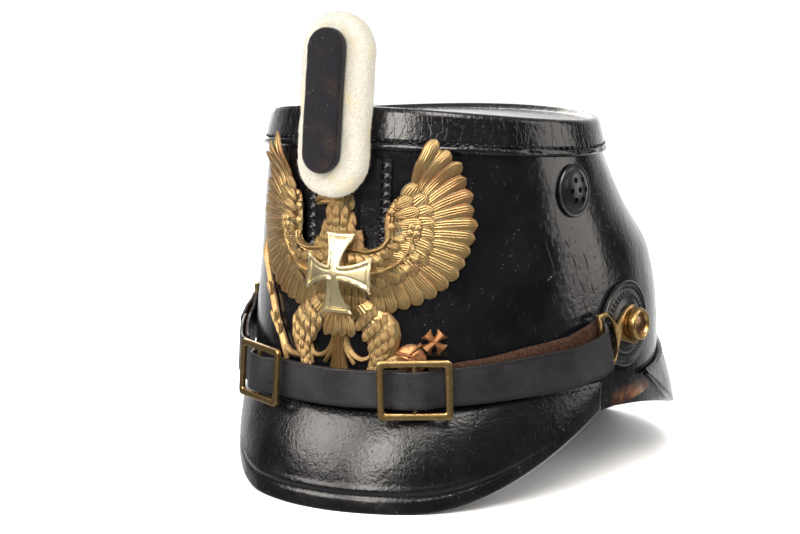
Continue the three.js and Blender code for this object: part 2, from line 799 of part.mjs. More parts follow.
function bead(arc, height, radius, stand) {
  const ball = new THREE.SphereGeometry(radius, 6, 4).scale(1, 1, 0.6);
  return facingOut(placed(welded(ball), frameOn(eagleArc + arc, height), stand));
}

function buildEagle() {
  const pieces = [1, -1].flatMap((side) => [
    ...Array.from({ length: primaryCount }, (_, number) => feather(side, primaryCount, number, primaries)),
    ...Array.from({ length: covertCount }, (_, number) => feather(side, covertCount, number, coverts)),
    limb(side, limbs.wingArm),
    limb(side, limbs.thigh),
    limb(side, limbs.tailScroll),
    ...wingBeads.map(([arc, height, radius]) => bead(side * arc, height, radius, plateStand(arc, height) + 1.5)),
  ]);
  const middle = ['chest', 'tail', 'beak', 'sceptre', 'orbArm', 'orbCrossUpright', 'orbCrossBar'];
  middle.forEach((name) => pieces.push(limb(1, limbs[name])));
  const orb = lathe([
    [0, 0.4], [orbRadius * 0.8, 0.1], [orbRadius, 0.3], [orbRadius * 0.86, orbDome * 0.55],
    [orbRadius * 0.55, orbDome * 0.88], [0, orbDome],
  ], 12);
  pieces.push(placed(orb, frameOn(eagleArc + orbArc, orbHeight), eagleStand));
  return toGeometry(joined(pieces));
}

// Cross with four flared arms, domed, its rim raised round a bare field
function crossOutline(inset) {
  const half = crossSpan / 2 - inset;
  const end = crossArmEnd / 2 - inset;
  const waist = crossWaist / 2 - inset;
  const shape = new THREE.Shape();
  const points = [];
  const steps = 4;
  for (let arm = 0; arm < 4; arm += 1) {
    const spin = (x, y) => new THREE.Vector2(x, y).rotateAround(new THREE.Vector2(), (arm * Math.PI) / 2);
    for (let step = 0; step <= steps; step += 1) {
      const share = step / steps;
      points.push(spin(lerp(waist, half, share), -lerp(waist, end, share ** 1.9)));
    }
    points.push(spin(half, 0));
    for (let step = steps; step > 0; step -= 1) {
      const share = step / steps;
      points.push(spin(lerp(waist, half, share), lerp(waist, end, share ** 1.9)));
    }
  }
  shape.setFromPoints(points);
  return shape;
}

function crossPlate(shape, bottom, depth) {
  const plate = new THREE.ExtrudeGeometry(shape, { depth, bevelEnabled: false });
  const geometry = welded(plate.translate(0, 0, bottom));
  const spots = geometry.attributes.position;
  for (let at = 0; at < spots.count; at += 1) {
    const reach = Math.hypot(spots.getX(at), spots.getY(at)) / (crossSpan / 2);
    spots.setZ(at, spots.getZ(at) + crossDome * Math.max(0, 1 - reach ** 1.6));
  }
  return geometry;
}

function buildCross() {
  const plate = toSolid(crossPlate(crossOutline(0), 0, crossThickness + crossRim));
  const field = toSolid(crossPlate(crossOutline(1), crossThickness, 2 * crossRim));
  const cross = toGeometry(plate.subtract(field));
  cross.rotateX(-radians(crossLeanBack)).rotateY(radians(crossYaw));
  return placed(cross, frameOn(crossArc, crossHeight), crossStand);
}

// Chin strap: a band that follows a path of arc and stand, at the strap's own height
function strapHeight(arc) {
  const curve = arc < 0 ? strapRightRiseCurve : strapRiseCurve;
  return strapFrontHeight + strapRise * (Math.abs(arc) / strapRiseArc) ** curve;
}

// Slope of the strap, eased near its end to the slope of the fitting's loop
function strapSlope(arc) {
  const run = Math.max(Math.abs(arc), 1);
  const curve = arc < 0 ? strapRightRiseCurve : strapRiseCurve;
  const own = (strapRise * curve * (run / strapRiseArc) ** (curve - 1)) / strapRiseArc;
  const nearLoop = THREE.MathUtils.smoothstep(run, loopArc - 24, loopArc - 6);
  return Math.sign(arc) * lerp(Math.atan(own), radians(fittingFall), nearLoop);
}

function strapBand(path) {
  const middles = path.map(({ arc, stand, lift = 0, middle, upright }) => {
    if (middle) return { middle, up: upright, width: strapWidth };
    const { point, up, out } = frameOn(arc, strapHeight(arc) + lift);
    const width = lerp(strapFrontWidth, strapWidth, THREE.MathUtils.smoothstep(Math.abs(arc), 40, 90));
    return { middle: point.addScaledVector(out, stand), up: up.applyAxisAngle(out, strapSlope(arc)), width };
  });
  const last = middles.length - 1;
  const sections = middles.map(({ middle, up, width }, at) => {
    const run = middles[Math.min(at + 1, last)].middle.clone().sub(middles[Math.max(at - 1, 0)].middle);
    const face = new THREE.Vector3().crossVectors(run.normalize(), up).normalize();
    const corner = (across, through) => middle.clone()
      .addScaledVector(up, (across * width) / 2)
      .addScaledVector(face, (through * strapThickness) / 2);
    return [corner(-1, -1), corner(-1, 1), corner(1, 1), corner(1, -1)];
  });
  return loft(sections, 'strip');
}

// Points of a path between two arcs, with its stand and lift eased from one end to the other
function stretch(from, to, steps) {
  return Array.from({ length: steps }, (_, step) => {
    const share = step / steps;
    const ease = THREE.MathUtils.smoothstep(share, 0, 1);
    return {
      arc: lerp(from.arc, to.arc, share),
      stand: lerp(from.stand, to.stand, ease),
      lift: lerp(from.lift ?? 0, to.lift ?? 0, ease),
    };
  });
}

function smoothPath(stops) {
  const path = [];
  for (let at = 0; at < stops.length - 1; at += 1) {
    const steps = Math.max(2, Math.round(Math.abs(stops[at + 1].arc - stops[at].arc) / 7));
    path.push(...stretch(stops[at], stops[at + 1], steps));
  }
  path.push(stops[stops.length - 1]);
  return path;
}

const layer = strapThickness + 0.4;
const strapOuterStand = strapInnerStand + layer;
const overBar = buckleStand + buckleThickness / 2 + gap + strapThickness / 2;
const barShare = (buckleLength - buckleBar) / 2;
const postArc = arcAt(postAngle, postHeight);
const loopArc = postArc - loopReach * Math.cos(radians(fittingFall));
const foldRadius = Math.hypot(loopBar, fittingThickness) / 2 + gap + strapThickness / 2;

// The fitting lies in the post's frame, leant in towards the shell at its loop
function fittingFrame(side) {
  const { point, along, up, out } = frameAt(side * postAngle, postHeight);
  const lean = -side * radians(fittingLean);
  const centre = point.addScaledVector(out, fittingStand + fittingThickness / 2);
  return { point: centre, along: along.applyAxisAngle(up, lean), up, out: out.applyAxisAngle(up, lean) };
}

// A point of the strap beside the loop's bar: how far beyond the bar, how far out and how far up it
function besideBar(side, beyond, out, shift) {
  const frame = fittingFrame(side);
  const fall = radians(fittingFall);
  const toPost = frame.along.clone().multiplyScalar(side * Math.cos(fall)).addScaledVector(frame.up, Math.sin(fall));
  const upright = frame.up.clone().multiplyScalar(Math.cos(fall)).addScaledVector(frame.along, -side * Math.sin(fall));
  const middle = frame.point.clone().addScaledVector(toPost, beyond - loopReach);
  middle.addScaledVector(frame.out, out).addScaledVector(upright, shift);
  return { middle, upright };
}

// The strap's turn round the bar, from the layer next to the shell to the outer one
function fold(side) {
  const steps = 6;
  const turned = Array.from({ length: steps + 1 }, (_, step) => {
    const turn = lerp(-1, 1, step / steps);
    const shift = turn < 0 ? foldInnerShift * -turn : foldOuterShift * turn ** 1.6;
    const angle = (turn * Math.PI) / 2;
    return besideBar(side, foldRadius * Math.cos(angle), foldRadius * Math.sin(angle), shift);
  });
  return [
    besideBar(side, -6, -foldRadius, foldInnerShift),
    ...turned,
    besideBar(side, -6, foldRadius * 0.9, foldOuterShift * 1.15),
  ];
}

function overSlide(centre, turn) {
  const raised = barShare * Math.sin(turn);
  return [
    { arc: centre + barShare + 1, stand: strapOuterStand },
    { arc: centre + barShare - 2.4, stand: strapOuterStand + 0.2 },
    { arc: centre + 3, stand: overBar + raised },
    { arc: centre - 3, stand: overBar + raised },
    { arc: centre - barShare + 2.4, stand: strapOuterStand + 0.2 + raised },
    { arc: centre - barShare - 1, stand: strapOuterStand + raised },
  ];
}

function buildStraps() {
  const innerSide = strapSideStand + strapThickness / 2;
  const outerSide = innerSide + layer;
  const left = [
    ...smoothPath([
      { arc: leftBuckleArc + 5, stand: strapInnerStand },
      { arc: leftBuckleArc + 26, stand: strapInnerStand, lift: 0.5 },
      { arc: 78, stand: innerSide, lift: strapInnerLift * 0.8 },
      { arc: loopArc - 14, stand: innerSide, lift: strapInnerLift },
    ]),
    ...fold(1),
    ...smoothPath([
      { arc: loopArc - 14, stand: outerSide + 2.2 },
      { arc: loopArc - 28, stand: outerSide + 0.8 },
      { arc: 70, stand: outerSide },
      ...overSlide(leftBuckleArc, 0),
      { arc: 0, stand: strapOuterStand },
      ...overSlide(rightBuckleArc, rightBuckleTurn),
      { arc: rightBuckleArc - barShare - 4, stand: strapOuterStand + barShare * rightBuckleTurn },
    ]),
  ];
  const right = [
    ...smoothPath([
      { arc: rightBuckleArc - 30, stand: strapInnerStand, lift: 0 },
      { arc: -90, stand: innerSide + strapBulge * 0.4, lift: strapInnerLift * 0.7 },
      { arc: -loopArc + 14, stand: innerSide, lift: strapInnerLift },
    ]),
    ...fold(-1),
    ...smoothPath([
      { arc: -loopArc + 14, stand: outerSide + 2.6 },
      { arc: -95, stand: outerSide + strapBulge * 0.9, lift: 1 },
      { arc: -86, stand: outerSide + strapBulge, lift: 0.6 },
      { arc: rightBuckleArc - 30, stand: strapOuterStand + strapBulge * 0.4 },
      { arc: rightBuckleArc - 20, stand: strapInnerStand },
      { arc: rightBuckleArc - 8, stand: strapInnerStand },
      { arc: leftBuckleArc - 8, stand: strapInnerStand },
      { arc: leftBuckleArc - 3, stand: strapInnerStand },
    ]),
  ];
  addPiece('strap_left', strapBand(left), strapLeather);
  addPiece('strap_right', strapBand(right), strapLeather);
}

// Buckle: a rectangular slide with a middle bar
function buildBuckle(centre, turn) {
  const halfLength = buckleLength / 2;
  const halfHeight = buckleHeight / 2;
  const rectangle = (left, bottom, right, top, corner) => new THREE.Shape([
    new THREE.Vector2(left + corner, bottom), new THREE.Vector2(right - corner, bottom),
    new THREE.Vector2(right, bottom + corner), new THREE.Vector2(right, top - corner),
    new THREE.Vector2(right - corner, top), new THREE.Vector2(left + corner, top),
    new THREE.Vector2(left, top - corner), new THREE.Vector2(left, bottom + corner),
  ]);
  const frame = rectangle(-halfLength, -halfHeight, halfLength, halfHeight, buckleCorner);
  const inner = halfLength - buckleBar;
  const side = buckleBar / 2;
  const window = halfHeight - buckleBar;
  frame.holes.push(rectangle(-inner, -window, -side, window, buckleCorner / 2));
  frame.holes.push(rectangle(side, -window, inner, window, buckleCorner / 2));
  const slide = new THREE.ExtrudeGeometry(frame, { depth: buckleThickness, bevelEnabled: false });
  const flat = welded(slide.translate(0, 0, -buckleThickness / 2));
  flat.rotateY(turn).rotateZ(buckleSlope * strapSlope(centre));
  return placed(flat, frameOn(centre, strapHeight(centre)), buckleStand + barShare * Math.sin(turn));
}

// Post: a stem through the cockade with a cupped cap on its end
function buildPost(side) {
  const stem = postStem / 2;
  const cap = postCap / 2;
  const top = postCapStand + postCapThickness;
  return placed(lathe([
    [0, gap], [stem, gap], [stem, postCapStand], [cap, postCapStand + 0.6], [cap, top - 0.7],
    [cap - 0.9, top], [cap - 1.8, top - 0.2], [cap - 3, top - postCup], [0, top - postCup + 0.6],
  ], 18), frameAt(side * postAngle, postHeight));
}

// Cockade: a round plate, raised at its rim and domed inside, with a hole for the post
function buildCockade(side) {
  const hole = postStem / 2 + gap;
  const foot = gap;
  const disc = lathe([
    [hole, foot], [cockadeRadius - 1, foot], [cockadeRadius, foot + 0.8],
    [cockadeRadius - cockadeRim / 2, foot + cockadeThickness],
    [cockadeRadius - cockadeRim, foot + cockadeThickness - 1],
    [cockadeRadius * 0.62, foot + cockadeThickness - 1 + cockadeDome],
    [hole, foot + cockadeThickness - 1 + cockadeDome], [hole, foot],
  ], 24);
  return onCurve(disc, side * postAngle, postHeight);
}

// Bends a flat round plate to the shell by sinking each point as far as the wall falls away
function onCurve(geometry, angle, height) {
  const spots = geometry.attributes.position;
  const centreArc = Math.sign(angle) * arcAt(angle, height);
  for (let at = 0; at < spots.count; at += 1) {
    const spot = new THREE.Vector3().fromBufferAttribute(spots, at);
    const moved = onShell(centreArc + spot.x, height + spot.y, spot.z);
    spots.setXYZ(at, moved.x, moved.y, moved.z);
  }
  return facingOut(geometry);
}

// Fitting: a fork that clasps the post's stem and a loop whose bar carries the strap
function buildFitting(side) {
  const inner = postStem / 2 + gap;
  const outer = inner + forkWidth;
  const half = fittingThickness / 2;
  const reach = new THREE.Vector2();
  const arcTo = (radius, from, to, steps) => Array.from({ length: steps + 1 }, (_, step) => {
    const angle = lerp(from, to, step / steps);
    return reach.clone().set(-radius * Math.cos(angle), radius * Math.sin(angle));
  });
  const tipAngle = Math.acos(-forkOpening / inner);
  const neck = inner + 5.5;
  const bar = loopReach;
  const top = loopHalfHeight + loopArm / 2;
  const spot = (along, up) => new THREE.Vector2(-along, up);
  const outline = [
    ...arcTo(inner, -tipAngle, tipAngle, 14),
    ...arcTo(outer, tipAngle + 0.04, 0.85, 6),
    spot(neck, 3.2), spot(neck + 2.6, 6.4), spot(neck + 6, top - 0.6), spot(bar + loopBar / 2, top),
    spot(bar + loopBar / 2, -top), spot(neck + 6, -top + 0.6), spot(neck + 2.6, -6.4), spot(neck, -3.2),
    ...arcTo(outer, -0.85, -tipAngle - 0.04, 6),
  ];
  const plate = new THREE.Shape(outline);
  const opening = loopHalfHeight - loopArm / 2 + 0.2;
  const near = neck + 2.4;
  plate.holes.push(new THREE.Path([
    spot(bar - loopBar / 2, opening), spot(near + 2.8, opening - 0.6), spot(near + 0.8, opening - 3.4),
    spot(near, 0),
    spot(near + 0.8, -opening + 3.4), spot(near + 2.8, -opening + 0.6), spot(bar - loopBar / 2, -opening),
  ]));
  const body = welded(new THREE.ExtrudeGeometry(plate, { depth: fittingThickness, bevelEnabled: false }));
  body.translate(0, 0, -half);
  body.rotateZ(radians(fittingFall));
  if (side < 0) body.scale(-1, 1, 1);
  return placed(body, fittingFrame(side));
}

// Vent: a domed cover with one hole in the middle and six round it
function buildVent(side) {
  const foot = gap;
  const rim = ventRadius;
  const profile = [
    [0, foot + ventDome], [rim * 0.86, foot], [rim, foot], [rim, foot + ventWall],
    [rim * 0.86, foot + ventWall], [rim * 0.5, foot + ventDome + ventWall - 0.5], [0, foot + ventDome + ventWall],
  ];
  const spots = [[0, 0]];
  for (let hole = 0; hole < 6; hole += 1) {
    const angle = (hole * Math.PI) / 3;
    spots.push([ventHolePitch * Math.cos(angle), ventHolePitch * Math.sin(angle)]);
  }
  const drills = spots.map(([x, y]) => {
    const drill = new THREE.CylinderGeometry(ventHole, ventHole, 12, 6).rotateX(Math.PI / 2);
    return toSolid(welded(drill.translate(x, y, foot)));
  });
  const cover = drills.reduce((body, drill) => body.subtract(drill), toSolid(lathe(profile, 16)));
  return onCurve(toGeometry(cover), side * ventAngle, ventHeight);
}

addPiece('shell', buildShell(), lacqueredLeather);
addPiece('crown_top', buildCrownTop(), lacqueredLeather);
addPiece('front_peak', buildPeak(), lacqueredLeather);
addPiece('neck_guard', buildGuard(), lacqueredLeather);
addPiece('badge_pocket', buildPocket(), lacqueredLeather);
buildBadge();
addPiece('eagle_plate', buildEagle(), stampedBrass);
addPiece('eagle_cross', buildCross(), paleNickel);
buildStraps();
addPiece('buckle_left', buildBuckle(leftBuckleArc, 0), stampedBrass);
addPiece('buckle_right', buildBuckle(rightBuckleArc, rightBuckleTurn), stampedBrass);
[['left', 1], ['right', -1]].forEach(([name, side]) => {
  addPiece(`post_${name}`, buildPost(side), stampedBrass);
  addPiece(`cockade_${name}`, buildCockade(side), blackenedTin);
  addPiece(`fitting_${name}`, buildFitting(side), stampedBrass);
  addPiece(`vent_${name}`, buildVent(side), blackenedTin);
});

// The origin lies on the floor, halfway between the peak's tip and the neck guard's
assembly.position.y = (peakReach - guardReach) / 2;

export default assembly;
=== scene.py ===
import math

import bpy
import numpy as np
from mathutils import Matrix, Vector, noise


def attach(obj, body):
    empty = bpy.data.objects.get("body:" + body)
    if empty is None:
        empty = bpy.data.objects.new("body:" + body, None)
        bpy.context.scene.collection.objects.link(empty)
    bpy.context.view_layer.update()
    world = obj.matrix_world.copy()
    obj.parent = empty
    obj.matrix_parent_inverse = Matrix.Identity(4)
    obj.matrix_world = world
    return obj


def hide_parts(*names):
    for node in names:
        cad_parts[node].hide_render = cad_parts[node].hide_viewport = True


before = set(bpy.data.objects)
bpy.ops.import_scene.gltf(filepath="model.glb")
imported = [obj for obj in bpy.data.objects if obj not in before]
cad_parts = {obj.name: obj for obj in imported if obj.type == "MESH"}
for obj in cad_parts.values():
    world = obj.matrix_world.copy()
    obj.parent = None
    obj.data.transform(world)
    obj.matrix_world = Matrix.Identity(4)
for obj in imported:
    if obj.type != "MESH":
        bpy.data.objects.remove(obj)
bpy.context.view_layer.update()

mm = 0.001
shakoScene = bpy.context.scene

# Sizes are in millimetres. Arc runs round the shell from the front centre, positive to the wearer's left,
# height is up from the floor, and stand is out from the shell's surface.


def addObject(name, data):
    made = bpy.data.objects.new(name, data)
    shakoScene.collection.objects.link(made)
    return made


# Camera at the photograph's place
camera = {
    "place": (406.6, -757.8, 207.4),
    "turn": 0.52313,
    "pitch": -0.14539,
    "roll": -0.0017,
    "focal": 1994.2,  # in pixels of the photograph
    "imageWidth": 800,
    "sensor": 36,
    "nearest": 0.02,  # in metres, as is the farthest
    "farthest": 40,
}
eye = bpy.data.cameras.new("photoCamera")
eye.sensor_width = camera["sensor"]
eye.lens = camera["focal"] * camera["sensor"] / camera["imageWidth"]
eye.clip_start, eye.clip_end = camera["nearest"], camera["farthest"]
eyeObject = addObject("photoCamera", eye)
eyeObject.location = Vector(camera["place"]) * mm
eyeObject.rotation_euler = (math.pi / 2 + camera["pitch"], camera["roll"], camera["turn"])
shakoScene.camera = eyeObject
shakoScene.view_settings.view_transform = "Standard"
print("camera set")


# The shell's surface, which every piece is laid on
shellForm = {
    "wall": 3,
    "rimFront": 90, "rimRear": 104, "rimSide": 83.5,
    "rimFrontHeight": 30, "rimRearHeight": 36,
    "crownFront": 83.5, "crownRear": 56.2, "crownSide": 69.6,
    "crownFrontHeight": 140.7, "crownRearHeight": 136.2, "crownSideDip": 2.5,
    "bandTopFront": 155.7, "bandTopRear": 149.2, "bandTopDip": 3.8, "bandTaper": 3,
    "rises": (0, 0.15, 0.32, 0.55, 0.78, 1),
    "rearShares": (0, 0, 0.01, 0.12, 0.63, 1),
    "sideShares": (0, -0.05, 0, 0.22, 0.63, 1),
    "backward": -8.9,  # from the head's axis to the middle of the whole shako
    "gap": 0.3,
}
gap = shellForm["gap"]


def mix(a, b, share):
    return a + (b - a) * share


def smooth(value, low, high):
    share = np.clip((np.asarray(value, float) - low) / (high - low), 0, 1)
    return share * share * (3 - 2 * share)


def unit(vectors):
    return vectors / np.linalg.norm(vectors, axis=-1, keepdims=True)


def easedColumn(rises, values, at):
    rises, values = np.array(rises, float), np.array(values, float)
    slopes = np.diff(values) / np.diff(rises)
    tangents = np.zeros(len(values))
    tangents[0], tangents[-1] = slopes[0], slopes[-1]
    before, after = slopes[:-1], slopes[1:]
    same = before * after > 0
    total = np.where(same, before + after, 1)
    tangents[1:-1] = np.where(same, 2 * before * after / total, 0)
    row = np.clip(np.searchsorted(rises, at) - 1, 0, len(rises) - 2)
    span = rises[row + 1] - rises[row]
    share = (at - rises[row]) / span
    square, cube = share ** 2, share ** 3
    return ((2 * cube - 3 * square + 1) * values[row] + (cube - 2 * square + share) * span * tangents[row]
            + (3 * square - 2 * cube) * values[row + 1] + (cube - square) * span * tangents[row + 1])


def shellReach(rise):
    rise = np.asarray(rise, float)
    low = np.minimum(rise, 1)
    inset = shellForm["bandTaper"] * np.maximum(rise - 1, 0)
    rear = easedColumn(shellForm["rises"], shellForm["rearShares"], low)
    side = easedColumn(shellForm["rises"], shellForm["sideShares"], low)
    return (mix(shellForm["rimFront"], shellForm["crownFront"], low) - inset,
            mix(shellForm["rimRear"], shellForm["crownRear"], rear) - inset,
            mix(shellForm["rimSide"], shellForm["crownSide"], side) - inset)


def backShare(angle):
    return (1 - np.cos(angle)) / 2


def rimHeight(angle):
    return mix(shellForm["rimFrontHeight"], shellForm["rimRearHeight"], backShare(angle))


def crownHeight(angle):
    plain = mix(shellForm["crownFrontHeight"], shellForm["crownRearHeight"], backShare(angle))
    return plain - shellForm["crownSideDip"] * np.sin(angle) ** 2


def bandTopHeight(angle):
    plain = mix(shellForm["bandTopFront"], shellForm["bandTopRear"], backShare(angle))
    return plain - shellForm["bandTopDip"] * np.sin(angle) ** 2


def shellPoint(angle, rise, stand=0.0):
    angle, rise, stand = np.broadcast_arrays(np.asarray(angle, float), rise, stand)
    front, rear, side = shellReach(rise)
    depth = (front + rear) / 2
    outX, outY = np.sin(angle) / side, -np.cos(angle) / depth
    length = np.hypot(outX, outY)
    low = mix(rimHeight(angle), crownHeight(angle), rise)
    high = mix(crownHeight(angle), bandTopHeight(angle), rise - 1)
    return np.stack([side * np.sin(angle) + stand * outX / length,
                     (rear - front) / 2 - depth * np.cos(angle) + stand * outY / length,
                     np.where(rise > 1, high, low)], -1)


def shellAt(angle, height, stand=0.0):
    angle, height, stand = np.broadcast_arrays(np.asarray(angle, float), height, stand)
    crown, rim = crownHeight(angle), rimHeight(angle)
    above = 1 + (height - crown) / (bandTopHeight(angle) - crown)
    rise = np.maximum(np.where(height > crown, above, (height - rim) / (crown - rim)), 0)
    points = shellPoint(angle, rise, stand)
    points[..., 2] = height
    return points


# Angles for each arc and height, walked once round the shell and then looked up
walk = {"lowest": 0, "highest": 164, "heightStep": 4, "arcStep": 1, "longest": 290}
walkHeights = np.arange(walk["lowest"], walk["highest"] + 1, walk["heightStep"])
walkArcs = np.arange(0, walk["longest"] + 1, walk["arcStep"])
walkAngles = np.linspace(0, math.pi, 721)
walked = []
for level in walkHeights:
    trail = shellAt(walkAngles, float(level))
    lengths = np.linalg.norm(np.diff(trail, axis=0), axis=1)
    walked.append(np.interp(walkArcs, np.concatenate([[0], np.cumsum(lengths)]), walkAngles))
walked = np.array(walked)


def angleAt(arc, height):
    arc, height = np.broadcast_arrays(np.asarray(arc, float), height)
    row = np.clip((height - walk["lowest"]) / walk["heightStep"], 0, len(walkHeights) - 1.001)
    column = np.clip(np.abs(arc) / walk["arcStep"], 0, len(walkArcs) - 1.001)
    r, c = row.astype(int), column.astype(int)
    fr, fc = row - r, column - c
    near = mix(walked[r, c], walked[r, c + 1], fc)
    far = mix(walked[r + 1, c], walked[r + 1, c + 1], fc)
    return np.sign(arc) * mix(near, far, fr)


def arcAt(angle, height):
    trail = shellAt(np.linspace(0, angle, 200), height)
    return float(np.linalg.norm(np.diff(trail, axis=0), axis=1).sum()) * (1 if angle >= 0 else -1)


def frameAt(angle, height):
    angle, height = np.broadcast_arrays(np.asarray(angle, float), height)
    along = unit(shellAt(angle + 0.01, height) - shellAt(angle - 0.01, height))
    up = unit(shellAt(angle, height + 0.5) - shellAt(angle, height - 0.5))
    out = unit(np.cross(along, up))
    return shellAt(angle, height), along, unit(np.cross(out, along)), out


def frameOn(arc, height):
    return frameAt(angleAt(arc, height), height)


def onShell(arc, height, stand):
    point, along, up, out = frameOn(arc, height)
    return point + out * np.asarray(stand, float)[..., None]


def inFrame(place, points):
    point, along, up, out = place
    return point + points[..., :1] * along + points[..., 1:2] * up + points[..., 2:3] * out


def turnAbout(vector, axis, angle):
    return (vector * math.cos(angle) + np.cross(axis, vector) * math.sin(angle)
            + axis * np.dot(axis, vector) * (1 - math.cos(angle)))


# Mesh tools
def selectOnly(*pieces):
    bpy.ops.object.select_all(action="DESELECT")
    for piece in pieces:
        piece.select_set(True)
    bpy.context.view_layer.objects.active = pieces[0]


def readPoints(piece):
    points = np.zeros(len(piece.data.vertices) * 3)
    piece.data.vertices.foreach_get("co", points)
    return points.reshape(-1, 3)


def writePoints(piece, points):
    piece.data.vertices.foreach_set("co", np.ascontiguousarray(points, dtype=np.float32).ravel())
    piece.data.update()


def toScene(points):
    return (points + np.array([0, shellForm["backward"], 0])) * mm


def paint(piece, name, values):
    layer = piece.data.attributes.get(name) or piece.data.attributes.new(name, "FLOAT", "POINT")
    layer.data.foreach_set("value", np.ascontiguousarray(values, dtype=np.float32).ravel())


def plainGrid(name, across, along):
    bpy.ops.object.select_all(action="DESELECT")
    bpy.ops.mesh.primitive_grid_add(x_subdivisions=across, y_subdivisions=along, size=2)
    bpy.context.object.name = name
    return bpy.context.object


# A grid laid out as rows of points; a closed one has its last row or column on its first
def skin(name, points, closed=False, values=None):
    rows, columns = points.shape[:2]
    piece = plainGrid(name, columns - 1, rows - 1)
    flat = readPoints(piece)
    column = np.rint((flat[:, 0] + 1) / 2 * (columns - 1)).astype(int)
    row = np.rint((flat[:, 1] + 1) / 2 * (rows - 1)).astype(int)
    writePoints(piece, toScene(points[row, column]))
    for key, value in (values or {}).items():
        paint(piece, key, np.broadcast_to(value, points.shape[:2])[row, column])
    if closed:
        closeUp(piece)
    return piece


def closeUp(piece, fill=False, within=2e-6):
    selectOnly(piece)
    bpy.ops.object.mode_set(mode="EDIT")
    bpy.ops.mesh.select_all(action="SELECT")
    bpy.ops.mesh.remove_doubles(threshold=within)
    if fill:
        bpy.ops.mesh.select_all(action="SELECT")
        bpy.ops.mesh.fill_holes(sides=0)
    bpy.ops.mesh.select_all(action="SELECT")
    bpy.ops.mesh.normals_make_consistent(inside=False)
    bpy.ops.object.mode_set(mode="OBJECT")


def useModifier(piece, kind, **settings):
    selectOnly(piece)
    modifier = piece.modifiers.new(kind.lower(), kind)
    for key, value in settings.items():
        setattr(modifier, key, value)
    bpy.ops.object.modifier_apply(modifier=modifier.name)


def drillOut(piece, drill):
    useModifier(piece, "BOOLEAN", object=drill, operation="DIFFERENCE", solver="EXACT")
    bpy.data.objects.remove(drill)


def smoothShade(piece, degrees=40):
    selectOnly(piece)
    bpy.ops.object.shade_smooth_by_angle(angle=math.radians(degrees))


def joinPieces(name, pieces):
    selectOnly(*pieces)
    bpy.ops.object.join()
    whole = bpy.context.object
    whole.name = name
    return whole


# A copy of a CAD node with its loose triangles merged into plain faces
def copyNode(node, name, flatness=1.0):
    piece = addObject(name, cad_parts[node].data.copy())
    piece.data.materials.clear()
    selectOnly(piece)
    bpy.ops.object.mode_set(mode="EDIT")
    bpy.ops.mesh.select_all(action="SELECT")
    bpy.ops.mesh.remove_doubles(threshold=1e-5)
    bpy.ops.mesh.dissolve_limited(angle_limit=math.radians(flatness))
    bpy.ops.object.mode_set(mode="OBJECT")
    return piece


def finishPiece(piece, finish, slot, *nodes, shade=40):
    smoothShade(piece, shade)
    piece.data.materials.clear()
    piece.data.materials.append(finish)
    if nodes:
        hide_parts(*nodes)
    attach(piece, "root")
    return piece


# Material tools
def hexColour(text):
    parts = [int(text[at:at + 2], 16) / 255 for at in (1, 3, 5)]
    return (*[part / 12.92 if part <= 0.04045 else ((part + 0.055) / 1.055) ** 2.4 for part in parts], 1)


def perMetre(size):
    return 1 / (size * mm)


# A node tree with short ways to add a node, each of which gives that node's output
class NodeSet:
    def __init__(self, tree):
        self.tree = tree

    def fill(self, node, inputs):
        for socket, value in inputs.items():
            if isinstance(value, bpy.types.NodeSocket):
                self.tree.links.new(value, node.inputs[socket])
            else:
                node.inputs[socket].default_value = hexColour(value) if isinstance(value, str) else value

    def add(self, kind, output, inputs, **settings):
        node = self.tree.nodes.new("ShaderNode" + kind)
        for key, value in settings.items():
            setattr(node, key, value)
        self.fill(node, inputs)
        return node.outputs[output]

    def maths(self, operation, *values, **settings):
        return self.add("Math", 0, dict(enumerate(values)), operation=operation, **settings)

    def spread(self, value, fromMin, fromMax, toMin, toMax):
        return self.add("MapRange", "Result", {"Value": value, "From Min": fromMin, "From Max": fromMax,
                                               "To Min": toMin, "To Max": toMax})


# A material, with the tone and bump nodes that its look is made of
class Finish(NodeSet):
    def __init__(self, name, colour, **values):
        self.material = bpy.data.materials.new(name)
        self.material.use_nodes = True
        super().__init__(self.material.node_tree)
        self.shader = self.tree.nodes["Principled BSDF"]
        self.feed({"Base Color": colour, **values})
        self.spot = self.add("TexCoord", "Object", {})

    def feed(self, inputs):
        self.fill(self.shader, inputs)

    def mask(self, name):
        return self.add("Attribute", "Fac", {}, attribute_name=name)

    def noise(self, size, detail, output="Fac", **more):
        inputs = {"Vector": self.spot, "Scale": perMetre(size), "Detail": detail, **more}
        return self.add("TexNoise", output, inputs)

    def cells(self, size, **more):
        return self.add("TexVoronoi", "Distance", {"Vector": self.spot, "Scale": perMetre(size)}, **more)

    def ramp(self, share, *stops):
        colour = self.add("ValToRGB", "Color", {"Fac": share})
        elements = colour.node.color_ramp.elements
        while len(elements) < len(stops):
            elements.new(0.5)
        for element, (place, tone) in zip(elements, stops):
            element.position = place
            element.color = hexColour(tone) if isinstance(tone, str) else (tone, tone, tone, 1)
        return colour

    def blend(self, share, first, second):
        return self.add("MixRGB", "Color", {"Fac": share, "Color1": first, "Color2": second})

    def bump(self, height, distance, under=None, **more):
        below = {"Normal": under} if under else {}
        return self.add("Bump", "Normal", {"Height": height, "Distance": distance * mm, **below, **more})


